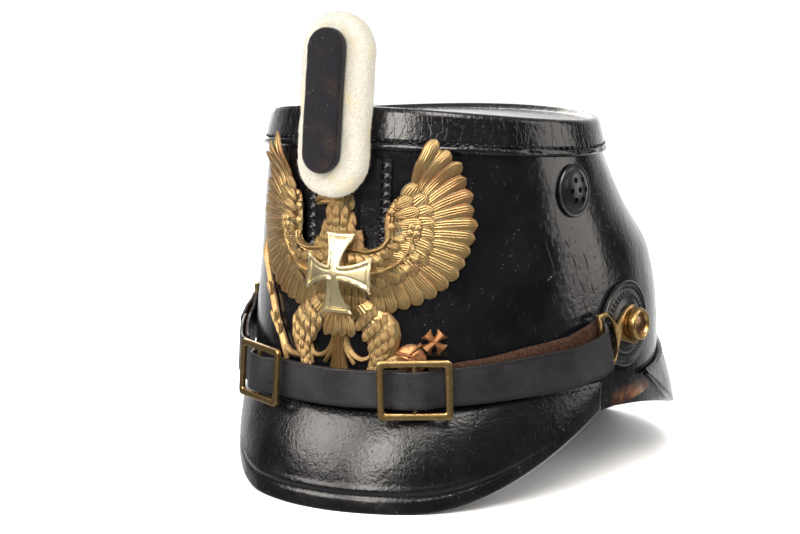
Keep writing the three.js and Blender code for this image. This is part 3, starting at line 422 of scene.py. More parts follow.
# Lacquered leather: hide under black varnish, with a broken gloss, fine scratches and pale dust
lacquer = {
    "black": "#070709", "scuffed": "#121114", "dust": "#77736d", "smoothest": 0.12, "dullest": 0.26,
    "grain": 1.0, "grainDepth": 0.02, "orangePeel": 2.3, "peelDepth": 0.11, "waviness": 15, "waveDepth": 0.35,
    "scratch": 0.84, "scratchDepth": 0.03, "scratchDull": 0.25, "speck": 1.7, "patch": 22,
    "crackWander": 5, "crackPitch": 3.4, "scratchTurn": (0.3, 0.5, 0.2), "scratchStretch": 0.16,
    "crackStretch": 0.14, "wornEdge": "#6f4526", "wornDark": "#2c1a10",
}


def makeLacquer(name, peel=1.0, dull=0.0, cracks=0.0, pores=1.0):
    finish = Finish(name, lacquer["black"], IOR=1.5)
    grain = finish.noise(lacquer["grain"], 3.0)
    peelNoise = finish.noise(lacquer["orangePeel"], 2.0, Roughness=0.45)
    wave = finish.noise(lacquer["waviness"], 2.0, Roughness=0.4)
    patch = finish.noise(lacquer["patch"], 6.0, Roughness=0.65)
    stretched = finish.add("Mapping", "Vector", {"Vector": finish.spot, "Rotation": lacquer["scratchTurn"],
                                                 "Scale": (1, 1, lacquer["scratchStretch"])})
    scratches = finish.ramp(finish.noise(lacquer["scratch"], 2.0, Vector=stretched), (0.68, 0.0), (0.74, 1.0))
    specks = finish.ramp(finish.cells(lacquer["speck"]), (0.05, 1.0), (0.12, 0.0))
    dust = finish.maths("MULTIPLY", specks, finish.ramp(patch, (0.5, 0.0), (0.6, 1.0)))
    tone = finish.ramp(patch, (0.35, lacquer["black"]), (0.8, lacquer["scuffed"]))
    dusty = finish.blend(dust, tone, lacquer["dust"])
    # Where the rim rubs, the varnish is gone and the brown hide shows
    hide = finish.ramp(patch, (0.42, lacquer["wornDark"]), (0.62, lacquer["wornEdge"]))
    gloss = finish.spread(patch, 0.3, 0.75, lacquer["smoothest"] + dull, lacquer["dullest"] + dull)
    bumps = finish.bump(wave, lacquer["waveDepth"] * peel)
    bumps = finish.bump(peelNoise, lacquer["peelDepth"] * peel, bumps)
    bumps = finish.bump(grain, lacquer["grainDepth"] * pores, bumps)
    bumps = finish.bump(scratches, lacquer["scratchDepth"], bumps)
    bumps.node.invert = True
    if cracks:
        bent = finish.noise(lacquer["crackWander"], 3.0, "Color")
        drawn = finish.add("VectorMath", 0, {0: bent, 1: (0.003, 0.003, 0.003), 2: finish.spot},
                           operation="MULTIPLY_ADD")
        upright = finish.add("Mapping", "Vector", {"Vector": drawn, "Scale": (1, 1, lacquer["crackStretch"])})
        wander = finish.cells(lacquer["crackPitch"], feature="DISTANCE_TO_EDGE")
        finish.fill(wander.node, {"Vector": upright})
        bumps = finish.bump(finish.ramp(wander, (0.0, 0.0), (0.035, 1.0)), cracks, bumps)
    finish.feed({"Base Color": finish.blend(finish.mask("worn"), dusty, hide),
                 "Roughness": finish.maths("MULTIPLY_ADD", scratches, lacquer["scratchDull"], gloss),
                 "Normal": bumps})
    return finish.material


shellLacquer = makeLacquer("lacqueredLeather")
bandLacquer = makeLacquer("crackedLacquer", peel=1.2, cracks=0.035)
peakLacquer = makeLacquer("grainedLacquer", peel=1.3, dull=0.06, pores=6)
print("lacquers mixed")


# Shell: a moulded leather body, open below and under the crown
shell = {"round": 288, "up": 72, "inside": 40, "topThickness": 2.5, "ventBore": 7,
         "wornFrom": 1.42, "wornTo": 1.8, "wornHeight": 7.5, "ventAngle": 1.31, "ventHeight": 122.3}
bandRear = shellForm["bandTopRear"] - shellForm["crownRearHeight"]
shellTopRise = 1 + (bandRear - shell["topThickness"] - gap) / bandRear
roundAngles = np.linspace(0, 2 * math.pi, shell["round"] + 1)
outerRises = np.linspace(0, shellTopRise, shell["up"])
innerRises = np.linspace(shellTopRise, 0, shell["inside"])
outerWall = shellPoint(roundAngles[None, :], outerRises[:, None])
innerWall = shellPoint(roundAngles[None, :], innerRises[:, None], -shellForm["wall"])
shellRows = np.concatenate([outerWall, innerWall, outerWall[:1]])
around = np.abs(np.where(roundAngles > math.pi, roundAngles - 2 * math.pi, roundAngles))
wornBand = smooth(around, shell["wornFrom"] - 0.06, shell["wornFrom"])
wornBand *= 1 - smooth(around, shell["wornTo"], shell["wornTo"] + 0.1)
aboveRim = shellRows[..., 2] - rimHeight(roundAngles)[None, :]
wornShare = wornBand[None, :] * (1 - smooth(aboveRim, shell["wornHeight"] * 0.3, shell["wornHeight"]))
shellPiece = skin("shakoShell", shellRows, closed=True, values={"worn": wornShare})
for sign in (1, -1):
    place = frameAt(sign * shell["ventAngle"], shell["ventHeight"])
    bpy.ops.object.select_all(action="DESELECT")
    bpy.ops.mesh.primitive_cylinder_add(vertices=40, radius=shell["ventBore"] * mm, depth=18 * mm)
    drill = bpy.context.object
    writePoints(drill, toScene(inFrame(place, readPoints(drill) / mm)))
    drillOut(shellPiece, drill)
finishPiece(shellPiece, shellLacquer, "lacquered_leather", "shell")
print("shell done")


# Crown top: a dished disc with a raised rim, turned down into a band that is sewn on the shell
crown = {"wall": 1.7, "rimWidth": 3.2, "rimRise": 1.1, "dish": 1.6, "thickness": 2.5,
         "stitchRise": 0.2, "stitchPitch": 3.6, "grooveDepth": 0.5, "welt": 0.9}
roundAngles = np.linspace(0, 2 * math.pi, 2 * shell["round"] + 1)
lumps = np.array([noise.noise(Vector((9 * math.cos(a), 9 * math.sin(a), 1.5))) for a in roundAngles])


def crownRing(inset, height):
    front, rear, side = [float(reach) for reach in shellReach(2.0)]
    points = shellPoint(roundAngles, 2.0)
    depth, centre = (front + rear) / 2, (rear - front) / 2
    points[:, 0] *= 1 - inset / side
    points[:, 1] = centre + (points[:, 1] - centre) * (1 - inset / (side if inset > 20 else depth))
    back = (1 - (centre - points[:, 1]) / depth) / 2
    dip = shellForm["bandTopDip"] * (points[:, 0] / side) ** 2
    points[:, 2] = mix(shellForm["bandTopFront"], shellForm["bandTopRear"], back) - dip + height
    return points


outer = gap + crown["wall"]
side = float(shellReach(2.0)[2])
underneath = -crown["dish"] - crown["thickness"]
inner = [(side * share, underneath) for share in (1, 0.8, 0.6, 0.4, 0.2)]
inner += [(crown["rimWidth"] + shellForm["wall"], underneath), (shellForm["wall"] + 0.6, -crown["thickness"])]
crownRows = [crownRing(*ring) for ring in inner]
for ring in ((shellTopRise + gap / bandRear, gap), (1.5, gap), (1.03, gap), (1, gap + 0.2),
             (0.995, gap + crown["wall"] / 2), (1, outer - 0.15), (1.02, outer + 0.05)):
    crownRows.append(shellPoint(roundAngles, *ring))
for rise in np.linspace(1.05, 1.9, 34):
    groove = math.exp(-((rise - 1 - crown["stitchRise"]) / 0.035) ** 2) * crown["grooveDepth"]
    below = crown["welt"] * math.exp(-((rise - 1.08) / 0.09) ** 2)
    stand = outer - groove * (1 + lumps) + below * (0.3 + 0.8 * lumps)
    crownRows.append(shellPoint(roundAngles, rise, stand))
crownRows.append(shellPoint(roundAngles, 1.94, outer))
top = [(0.25 - outer, 0.25), (0.6 - outer, 0.62), (1.1 - outer, 0.92), (1.7 - outer, crown["rimRise"]),
       (2.3 - outer, crown["rimRise"] * 0.96), (0.9, 0.55), (2.0, -0.35), (crown["rimWidth"], -0.95),
       (crown["rimWidth"] + 1, -crown["dish"] * 0.8), (crown["rimWidth"] + 2.4, -crown["dish"] * 0.96)]
top += [(side * share, -crown["dish"]) for share in (0.15, 0.3, 0.45, 0.6, 0.8, 1)]
crownRows += [crownRing(*ring) for ring in top]
crownPiece = skin("crownTop", np.array(crownRows), closed=True)
finishPiece(crownPiece, bandLacquer, "lacquered_leather", "crown_top")
print("crown done")


# Peak and neck guard: leather flaps sewn to the shell, each with a pressed crease above its cut edge
peak = {
    "reach": 106.2, "halfWidth": 84, "root": 2.5, "roundness": 1.9, "endHeight": 33.5,
    "flatAngle": 0.42, "thinAngle": 1, "endAngle": 1.352, "seamEndAngle": 1.262,
    "seamFront": 37.5, "seamSide": 45.2, "bulge": 2.6, "thickness": 3.2, "skived": 1.4,
    "around": 180, "down": 44, "crease": 0.83, "creaseDepth": 0.8,
}
guard = {
    "reach": 124, "halfWidth": 94.5, "endAngle": 1.5, "flatAngle": 0.2, "endHeight": 42,
    "rises": (0, 0.25, 0.45, 0.65, 0.85, 1), "heights": (0, 0.22, 0.36, 0.5, 0.74, 1),
    "seamRear": 58, "seamSide": 44.4, "bulge": 1.5, "thickness": 2.6, "skived": 1.4,
    "around": 160, "down": 36, "crease": 0.84, "creaseDepth": 0.4,
}


def flapRows(seam, edge, bulge, thickness, form):
    thin = form["skived"]
    run = edge - seam
    flat = run * np.array([1, 1, 0])
    short = np.linalg.norm(flat, axis=1) < 1e-6
    flat[short] = seam[short] * np.array([1, 1, 0])
    flat = unit(flat)
    swell = unit(np.stack([flat[:, 0] * np.abs(run[:, 2]), flat[:, 1] * np.abs(run[:, 2]),
                           (flat * run).sum(1)], 1))
    control = (seam + edge) / 2 + swell * 2 * bulge[:, None]
    sideways = np.stack([-flat[:, 1], flat[:, 0], np.zeros(len(flat))], 1)
    length = np.linalg.norm(run, axis=1)

    def curve(share):
        return seam * (1 - share) ** 2 + control * 2 * share * (1 - share) + edge * share ** 2

    def inward(share):
        tangent = (control - seam) * 2 * (1 - share) + (edge - control) * 2 * share
        normal = unit(np.cross(tangent, sideways))
        wrong = (normal * flat).sum(1) > 0
        normal[wrong] *= -1
        return normal

    bevel = thickness * 0.4
    shares = np.linspace(0, 1, form["down"])
    outerRows, innerRows = [], []
    for share in shares:
        capped = np.minimum(share, 1 - bevel / length)[:, None]
        crease = form["creaseDepth"] * math.exp(-((share - form["crease"]) / 0.022) ** 2)
        ridge = 0.5 * form["creaseDepth"] * math.exp(-((share - form["crease"] + 0.05) / 0.03) ** 2)
        depth = (crease - ridge) * smooth(length, 20, 36)
        inwards = inward(capped)
        outerRows.append(curve(capped) + inwards * depth[:, None])
        wall = mix(thin, thickness, smooth(share, 0, 0.3))
        innerRows.append(curve(share) + inward(share) * np.broadcast_to(wall, length.shape)[:, None])
    innerRows[-1][:, 2] = edge[:, 2]
    cut = outerRows[-1].copy()
    lip = curve(1.0) - flat * (bevel * 0.6)[:, None]
    lip[:, 2] = edge[:, 2]
    rounded = [cut * (1 - t) ** 2 + curve(1.0) * 2 * t * (1 - t) + lip * t ** 2 for t in (0.25, 0.5, 0.75)]
    section = outerRows + rounded + [lip, mix(innerRows[-1], lip, 0.3)] + innerRows[::-1] + [outerRows[0]]
    return np.stack(section, 0)


def clearOfShell(edge, thickness):
    front, rear, side = [float(reach) for reach in shellReach(0.0)]
    centre, depth = (rear - front) / 2, (front + rear) / 2
    angle = np.arctan2(edge[:, 0] / side, (centre - edge[:, 1]) / depth)
    nearest = shellAt(angle, np.maximum(edge[:, 2], rimHeight(angle)), gap + thickness)
    out = unit(np.stack([np.sin(angle) / side, -np.cos(angle) / depth, np.zeros(len(angle))], 1))
    miss = nearest - edge
    miss[:, 2] = 0
    return out * np.maximum(0, (miss * out).sum(1))[:, None]


def makePeak():
    angle = np.linspace(-peak["endAngle"], peak["endAngle"], peak["around"])
    spread = np.maximum(0, (np.abs(angle) - peak["flatAngle"]) / (peak["endAngle"] - peak["flatAngle"]))
    depth = (peak["reach"] - peak["root"]) * np.cos(angle) ** (2 / peak["roundness"])
    edge = np.stack([peak["halfWidth"] * np.sin(angle), -peak["root"] - depth,
                     peak["endHeight"] * spread ** 2 * (1.6 - 0.6 * spread)], 1)
    seamHeight = mix(peak["seamFront"], peak["seamSide"], np.sin(angle) ** 2)
    drawnIn = mix(1, peak["seamEndAngle"] / peak["endAngle"], (angle / peak["endAngle"]) ** 2)
    seam = shellAt(angle * drawnIn, seamHeight, gap + peak["skived"])
    thinned = smooth(np.abs(angle), peak["thinAngle"], peak["endAngle"])
    thickness = mix(peak["thickness"], peak["skived"], thinned)
    edge = edge + clearOfShell(edge, thickness)
    return flapRows(seam, edge, peak["bulge"] * np.cos(angle) ** 0.5, thickness, peak)


def makeGuard():
    turn = np.linspace(-guard["endAngle"], guard["endAngle"], guard["around"])
    angle = math.pi - turn
    spread = np.clip((np.abs(turn) - guard["flatAngle"]) / (guard["endAngle"] - guard["flatAngle"]), 0, 1)
    rootY = (shellForm["rimRear"] - shellForm["rimFront"]) / 2
    edge = np.stack([guard["halfWidth"] * np.sin(turn), rootY + (guard["reach"] - rootY) * np.cos(turn),
                     guard["endHeight"] * easedColumn(guard["rises"], guard["heights"], spread)], 1)
    seamHeight = mix(guard["seamSide"], guard["seamRear"], np.cos(turn) ** 2)
    seam = shellAt(angle, seamHeight, gap + guard["skived"])
    flare = np.minimum(1, (seamHeight - edge[:, 2]) / guard["seamRear"])
    straight = shellAt(angle, np.maximum(edge[:, 2], rimHeight(angle)), gap + guard["thickness"])
    for axis in (0, 1):
        edge[:, axis] = mix(straight[:, axis], edge[:, axis], flare ** 0.6)
    thickness = np.full(len(turn), float(guard["thickness"]))
    return flapRows(seam, edge, guard["bulge"] * flare, thickness, guard)


def makeFlap(name, rows, node, finish):
    piece = skin(name, rows)
    closeUp(piece, fill=True)
    return finishPiece(piece, finish, "lacquered_leather", node, shade=60)


makeFlap("frontPeak", makePeak(), "front_peak", peakLacquer)
makeFlap("neckGuard", makeGuard(), "neck_guard", peakLacquer)
print("peak and guard done")


# Chin strap: two straps that pass over each other in front, each folded round its fitting's bar
strap = {
    "width": 16.4, "frontWidth": 14.8, "thickness": 1.5, "frontHeight": 46.6,
    "rise": 9.4, "riseArc": 118, "leftCurve": 1.5, "rightCurve": 2.3,
    "innerStand": 4.3, "sideStand": 2, "innerLift": 4, "foldInner": 0.9, "foldOuter": -3.6, "bulge": 1.4,
    "edgeRound": 0.45, "step": 1.6,
    "leftUnder": 78, "leftOver": 70, "rightUnder": -90, "rightOver": -95, "rightCrest": -86,
}
slide = {
    "length": 29.6, "height": 23.4, "bar": 2.8, "thickness": 2, "stand": 8.8, "slope": 0.55,
    "leftArc": 31.2, "rightArc": -37, "rightTurn": 0.04,
}
post = {"angle": 1.452, "height": 66}
fitting = {"stand": 3.5, "thickness": 1.6, "fall": 12.7, "lean": 5, "loopReach": 21.6, "loopBar": 2}

strapLayer = strap["thickness"] + 0.4
outerStand = strap["innerStand"] + strapLayer
overBar = slide["stand"] + slide["thickness"] / 2 + gap + strap["thickness"] / 2
barShare = (slide["length"] - slide["bar"]) / 2
fall = math.radians(fitting["fall"])
loopArc = arcAt(post["angle"], post["height"]) - fitting["loopReach"] * math.cos(fall)
foldRadius = math.hypot(fitting["loopBar"], fitting["thickness"]) / 2 + gap + strap["thickness"] / 2


def strapHeight(arc):
    curve = np.where(np.asarray(arc) < 0, strap["rightCurve"], strap["leftCurve"])
    return strap["frontHeight"] + strap["rise"] * (np.abs(arc) / strap["riseArc"]) ** curve


def strapSlope(arc):
    run = max(abs(arc), 1)
    curve = strap["rightCurve"] if arc < 0 else strap["leftCurve"]
    own = strap["rise"] * curve * (run / strap["riseArc"]) ** (curve - 1) / strap["riseArc"]
    nearLoop = float(smooth(run, loopArc - 24, loopArc - 6))
    return math.copysign(1, arc) * mix(math.atan(own), fall, nearLoop) if arc else 0.0


def fittingFrame(sign):
    point, along, up, out = frameAt(sign * post["angle"], post["height"])
    lean = -sign * math.radians(fitting["lean"])
    centre = point + out * (fitting["stand"] + fitting["thickness"] / 2)
    return centre, turnAbout(along, up, lean), up, turnAbout(out, up, lean)


def besideBar(sign, beyond, out, shift):
    centre, along, up, outward = fittingFrame(sign)
    toPost = along * sign * math.cos(fall) + up * math.sin(fall)
    upright = up * math.cos(fall) - along * sign * math.sin(fall)
    return centre + toPost * (beyond - fitting["loopReach"]) + outward * out + upright * shift, upright


def foldStops(sign):
    stops = [besideBar(sign, -6, -foldRadius, strap["foldInner"])]
    for turn in np.linspace(-1, 1, 15):
        shift = strap["foldInner"] * -turn if turn < 0 else strap["foldOuter"] * turn ** 1.6
        angle = turn * math.pi / 2
        stops.append(besideBar(sign, foldRadius * math.cos(angle), foldRadius * math.sin(angle), shift))
    stops.append(besideBar(sign, -6, foldRadius * 0.9, strap["foldOuter"] * 1.15))
    return [{"point": point, "up": upright, "width": strap["width"]} for point, upright in stops]


def strapStops(stops):
    # Stops are (arc, stand, lift), eased from each to the next
    path = []
    for (arcA, standA, liftA), (arcB, standB, liftB) in zip(stops, stops[1:]):
        steps = max(3, round(abs(arcB - arcA) / strap["step"]))
        for step in range(steps):
            share = step / steps
            ease = float(smooth(share, 0, 1))
            path.append((mix(arcA, arcB, share), mix(standA, standB, ease), mix(liftA, liftB, ease)))
    path.append(stops[-1])
    made = []
    for arc, stand, lift in path:
        point, along, up, out = frameOn(arc, float(strapHeight(arc)) + lift)
        width = mix(strap["frontWidth"], strap["width"], float(smooth(abs(arc), 40, 90)))
        made.append({"point": point + out * stand, "up": turnAbout(up, out, strapSlope(arc)), "width": width})
    return made


def overSlide(centre, turn):
    raised = barShare * math.sin(turn)
    spots = ((barShare + 1, outerStand), (barShare - 2.4, outerStand + 0.2), (3, overBar + raised),
             (-3, overBar + raised), (2.4 - barShare, outerStand + 0.2 + raised),
             (-barShare - 1, outerStand + raised))
    return [(centre + along, stand, 0) for along, stand in spots]


def strapSection():
    # Across, through and corner angle of each spot round the band, from the middle of its flesh side
    spots = [(across, 1, 0) for across in np.linspace(0, 1, 9)[:-1]]
    for quarter, (across, through) in enumerate(((1, 1), (1, -1), (-1, -1), (-1, 1))):
        if quarter == 2:
            spots += [(back, -1, math.pi) for back in np.linspace(1, -1, 17)[1:-1]]
        spots += [(across, through, corner) for corner in np.linspace(quarter, quarter + 1, 4) * math.pi / 2]
    return spots + [(across, 1, 0) for across in np.linspace(-1, 0, 9)[1:]]


def makeStrap(name, path, sign, node):
    middles = np.array([stop["point"] for stop in path])
    ups = np.array([stop["up"] for stop in path])
    widths = np.array([stop["width"] for stop in path])
    last = len(path) - 1
    after = middles[np.minimum(np.arange(last + 1) + 1, last)]
    before = middles[np.maximum(np.arange(last + 1) - 1, 0)]
    runs = unit(after - before)
    faces = unit(np.cross(runs, ups))
    half, rounding = strap["thickness"] / 2, strap["edgeRound"]
    columns, fleshShare, edgeShare = [], [], []
    for across, through, corner in strapSection():
        inside = abs(across) == 1
        width = (widths / 2 - rounding) * across + (math.sin(corner) * rounding if inside else 0)
        depth = through * (half - rounding) + math.cos(corner) * rounding if inside else through * half
        columns.append(middles + ups * width[:, None] + faces * depth * sign)
        fleshShare.append(1.0 if through > 0 and not (inside and abs(math.sin(corner)) > 0.9) else 0.0)
        edgeShare.append(1.0 if inside else max(0, (abs(across) - 0.8) / 0.2))
    rows = np.stack(columns, 1)
    piece = skin(name, rows, values={"flesh": np.array(fleshShare)[None, :],
                                     "edge": np.array(edgeShare)[None, :]})
    closeUp(piece, fill=True)
    return finishPiece(piece, strapFinish, "strap_leather", node, shade=50)


innerSide = strap["sideStand"] + strap["thickness"] / 2
outerSide = innerSide + strapLayer
leftArc, rightArc, innerStand = slide["leftArc"], slide["rightArc"], strap["innerStand"]
lift, bulge, nearFork = strap["innerLift"], strap["bulge"], loopArc - 14
leftPath = strapStops([(leftArc + 5, innerStand, 1), (leftArc + 22, innerStand, 2.2),
                       (strap["leftUnder"], innerSide, lift * 0.9), (nearFork, innerSide, lift)])
leftPath += foldStops(1)
leftOver = [(nearFork, outerSide + 2.2, 0), (loopArc - 28, outerSide + 0.8, 0),
            (strap["leftOver"], outerSide, 0)]
leftOver += overSlide(leftArc, 0) + [(0, outerStand, 0)] + overSlide(rightArc, slide["rightTurn"])
leftPath += strapStops(leftOver + [(rightArc - barShare - 4, outerStand + barShare * slide["rightTurn"], 0)])
rightPath = strapStops([(rightArc - 30, innerStand, 0),
                        (strap["rightUnder"], innerSide + bulge * 0.4, lift * 0.7),
                        (-nearFork, innerSide, lift)])
rightPath += foldStops(-1)
rightPath += strapStops([(-nearFork, outerSide + 2.6, 0), (strap["rightOver"], outerSide + bulge * 0.9, 1),
                         (strap["rightCrest"], outerSide + bulge, 0.6),
                         (rightArc - 30, outerStand + bulge * 0.4, 0),
                         (rightArc - 20, innerStand, 0), (rightArc - 8, innerStand, 0),
                         (leftArc - 8, innerStand, 0), (leftArc - 3, innerStand, 0)])

# Strap leather: black-dyed grain with a dull waxed sheen, a burnished edge and a brown fibrous flesh side
strapLook = {"grain": "#141317", "worn": "#222025", "flesh": "#31211a", "fleshPale": "#523b2d",
             "fleshDark": "#1d120d", "edge": "#0f0e11", "grainSize": 1.0, "grainDepth": 0.12, "fibre": 0.9,
             "roughness": 0.46, "patch": 16}
finish = Finish("waxedStrapLeather", strapLook["grain"], IOR=1.5)
flesh = finish.mask("flesh")
patch = finish.noise(strapLook["patch"], 6.0, Roughness=0.6)
fibre = finish.noise(strapLook["fibre"], 5.0, Roughness=0.7)
grainTone = finish.ramp(patch, (0.35, strapLook["grain"]), (0.75, strapLook["worn"]))
fleshTone = finish.ramp(fibre, (0.3, strapLook["fleshDark"]), (0.5, strapLook["flesh"]),
                        (0.72, strapLook["fleshPale"]))
edged = finish.blend(finish.mask("edge"), grainTone, strapLook["edge"])
dullness = finish.spread(patch, 0.3, 0.7, strapLook["roughness"] - 0.08, strapLook["roughness"] + 0.1)
pores = finish.bump(finish.cells(strapLook["grainSize"]), strapLook["grainDepth"], Strength=0.5)
finish.feed({"Base Color": finish.blend(flesh, edged, fleshTone),
             "Roughness": finish.maths("MULTIPLY_ADD", flesh, 0.4, dullness),
             "Specular IOR Level": finish.spread(flesh, 0, 1, 0.38, 0.05),
             "Normal": finish.bump(fibre, 0.12, pores)})
strapFinish = finish.material

makeStrap("strapLeft", leftPath, 1, "strap_left")
makeStrap("strapRight", rightPath, -1, "strap_right")
print("straps done")


# Eagle: a stamped brass plate. Arcs are from its own middle, and the far wing is the near one mirrored
eagle = {
    "arc": -1, "farWing": 1.03, "stand": 0.6, "chestStand": 4, "thickness": 0.45,
    "pocketHalf": 18.5, "pocketBottom": 98, "bandHeight": 140.7,
    "quillTips": ((36.4, 143.7), (41.7, 139.4), (46.2, 135.1), (48.4, 129.1), (51.4, 122.9), (52, 116.9),
                  (53.6, 110.9), (52.6, 105.6), (50.9, 100.3), (48.9, 95.4), (46.6, 90.9), (42.6, 86.9),
                  (38, 83.3), (32.7, 80.4), (27.4, 78.5), (22, 76.9), (17.1, 75.2)),
    "quillRoots": ((28.2, 121), (29.6, 116), (30.2, 111), (29.4, 105), (26.5, 99.5), (21, 96), (13.5, 92)),
    "quillWidth": 6.9, "backingReach": 0.93, "backingWidth": 0.9,
    "covertTips": ((30.2, 127.2), (33.8, 122.9), (36.2, 117.9), (37.2, 112.4), (37.2, 106.8), (36.6, 101.4),
                   (34.6, 96.2), (30.6, 92.2), (25.4, 89.6), (19.6, 87.9)),
    "covertRoots": ((24.5, 118.5), (25, 115.5), (26, 112.5), (26.5, 109), (26, 105), (24, 101), (20.5, 98),
                    (15.5, 95.5)),
    "covertWidth": 7.4,
    "innerTips": ((28.2, 122.2), (31, 117.4), (32.2, 112.4), (31.8, 107.2), (30, 102.2), (26.8, 98.2)),
    "innerRoots": ((22, 118.8), (22.2, 114), (22.6, 109), (21.8, 103.6), (18.4, 99.6)),
    "innerWidth": 6,
}


def plateStand(arc, height):
    overPocket = 1 - smooth(np.abs(arc), eagle["pocketHalf"] - 2, eagle["pocketHalf"] + 6)
    lifted = overPocket * smooth(height, eagle["pocketBottom"] - 15, eagle["pocketBottom"] - 5)
    overBand = smooth(height, eagle["bandHeight"] - 14, eagle["bandHeight"] - 3)
    return mix(eagle["stand"], eagle["chestStand"], np.maximum(lifted, overBand))


def alongTable(table, share):
    table = np.array(table, float)
    places = np.linspace(0, 1, len(table))
    return np.array([np.interp(share, places, table[:, 0]), np.interp(share, places, table[:, 1])])


# One blank for every feather: a flat strip with its length and breadth kept in a map for the barbs
featherBlank = plainGrid("featherBlank", 10, 18)
scaleBlank = plainGrid("scaleBlank", 6, 8)
eagleParts = []


def layStrip(blank, sign, spine, halfWidth, stand, relief):
    # The spine gives arc and height for shares of the length; the others take shares and -1 to 1 across
    piece = addObject("strip", blank.data.copy())
    flat = readPoints(piece)
    t, s = 1 - ((1 - flat[:, 1]) / 2) ** 1.7, flat[:, 0]
    arc, height = spine(t)
    step = 1e-3
    arcB, heightB = spine(t + step)
    runArc, runHeight = arcB - arc, heightB - height
    length = np.hypot(runArc, runHeight)
    acrossArc, acrossHeight = -runHeight / length, runArc / length
    half = halfWidth(t)
    arc, height = arc + acrossArc * half * s, height + acrossHeight * half * s
    arc = arc * (1 if sign > 0 else eagle["farWing"])
    lift = stand(t, s)
    writePoints(piece, toScene(onShell(eagle["arc"] + sign * arc, height, plateStand(arc, height) + lift)))
    paint(piece, "relief", relief(t, s))
    if sign > 0:
        piece.data.flip_normals()
    eagleParts.append(piece)


def bezier(root, control, tip):
    root, control, tip = np.array(root, float), np.array(control, float), np.array(tip, float)

    def spine(t):
        spots = (root[:, None] * (1 - t) ** 2 + control[:, None] * 2 * t * (1 - t) + tip[:, None] * t ** 2)
        return spots[0], spots[1]
    return spine


def layFeather(sign, root, tip, width, bow=0.08, low=0.3, high=0.9, dome=0.55, shingle=0.0,
               blank=featherBlank, point=0.16, narrow=0.5, quill=0.16):
    root, tip = np.array(root, float), np.array(tip, float)
    run = tip - root
    length = np.hypot(*run)
    control = (root + tip) / 2 + np.array([-run[1], run[0]]) * bow
    rounding = min(0.45, width * 0.55 / length + point - 0.16)

    def halfWidth(t):
        spread = mix(narrow, 1, smooth(t, 0, 0.5))
        end = np.clip((t - (1 - rounding)) / rounding, 0, 1)
        return width / 2 * spread * np.sqrt(np.maximum(1 - end ** 2, 0.004))

    def stand(t, s):
        domed = dome * (1 - np.abs(s) ** 2.8)
        rachis = quill * np.exp(-(s / 0.16) ** 2) * (1 - smooth(t, 0.8, 1))
        curl = -0.5 * dome * smooth(t, 1 - rounding * 0.8, 1)
        grooves = 0.09 * np.cos(s * math.pi * 5) * (1 - smooth(t, 0.85, 1))
        return mix(low, high, t) + domed + rachis + curl + grooves + shingle * s

    # Relief darkens the feather's edges and root, where it runs under its neighbours: painted shade, along
    # with the oxide
    def relief(t, s):
        return np.clip(0.02 + 0.98 * (1 - np.abs(s) ** 3) - 0.45 * (1 - smooth(t, 0.0, 0.5)), 0, 1)
    layStrip(blank, sign, bezier(root, control, tip), halfWidth, stand, relief)


def layScale(sign, root, tip, width, **form):
    layFeather(sign, root, tip, width, blank=scaleBlank, **form)


# The feathers of one row of a wing, laid from the last up
def layRow(sign, tips, roots, widths, bows, **form):
    for number in range(len(tips) - 1, -1, -1):
        root = alongTable(roots, number / (len(tips) - 1))
        layFeather(sign, root, tips[number], widths[number], bow=bows[number], **form)


def layLimb(sign, rows, blank=featherBlank, power=0.6):
    # Rows of arc, height, half width and lift
    rows = np.array(rows, float)
    places = np.concatenate([[0], np.cumsum(np.hypot(np.diff(rows[:, 0]), np.diff(rows[:, 1])))])
    places /= places[-1]

    def column(index, t):
        return easedColumn(places, rows[:, index], np.clip(t, 0, 1.01))

    def stand(t, s):
        return column(3, t) * np.maximum(1 - s ** 2, 0.0) ** power
    # Relief falls off towards the limb's sides, painting shade where it meets the plate
    layStrip(blank, sign, lambda t: (column(0, t), column(1, t)), lambda t: column(2, t), stand,
             lambda t, s: np.clip(0.3 + 0.7 * (1 - s ** 2), 0, 1))


def layBall(sign, arc, height, radius, stand, flat=0.75):
    bpy.ops.object.select_all(action="DESELECT")
    bpy.ops.mesh.primitive_uv_sphere_add(segments=20, ring_count=12, radius=radius)
    ball = bpy.context.object
    points = readPoints(ball) * np.array([1, 1, flat])
    place = frameOn(eagle["arc"] + sign * arc, height)
    raised = np.array([0, 0, stand + float(plateStand(arc, height))])
    writePoints(ball, toScene(inFrame(place, points + raised)))
    # Relief falls towards the ball's foot, painting shade where it meets the plate
    paint(ball, "relief", np.clip(points[:, 2] / (radius * flat), 0, 1))
    return ball


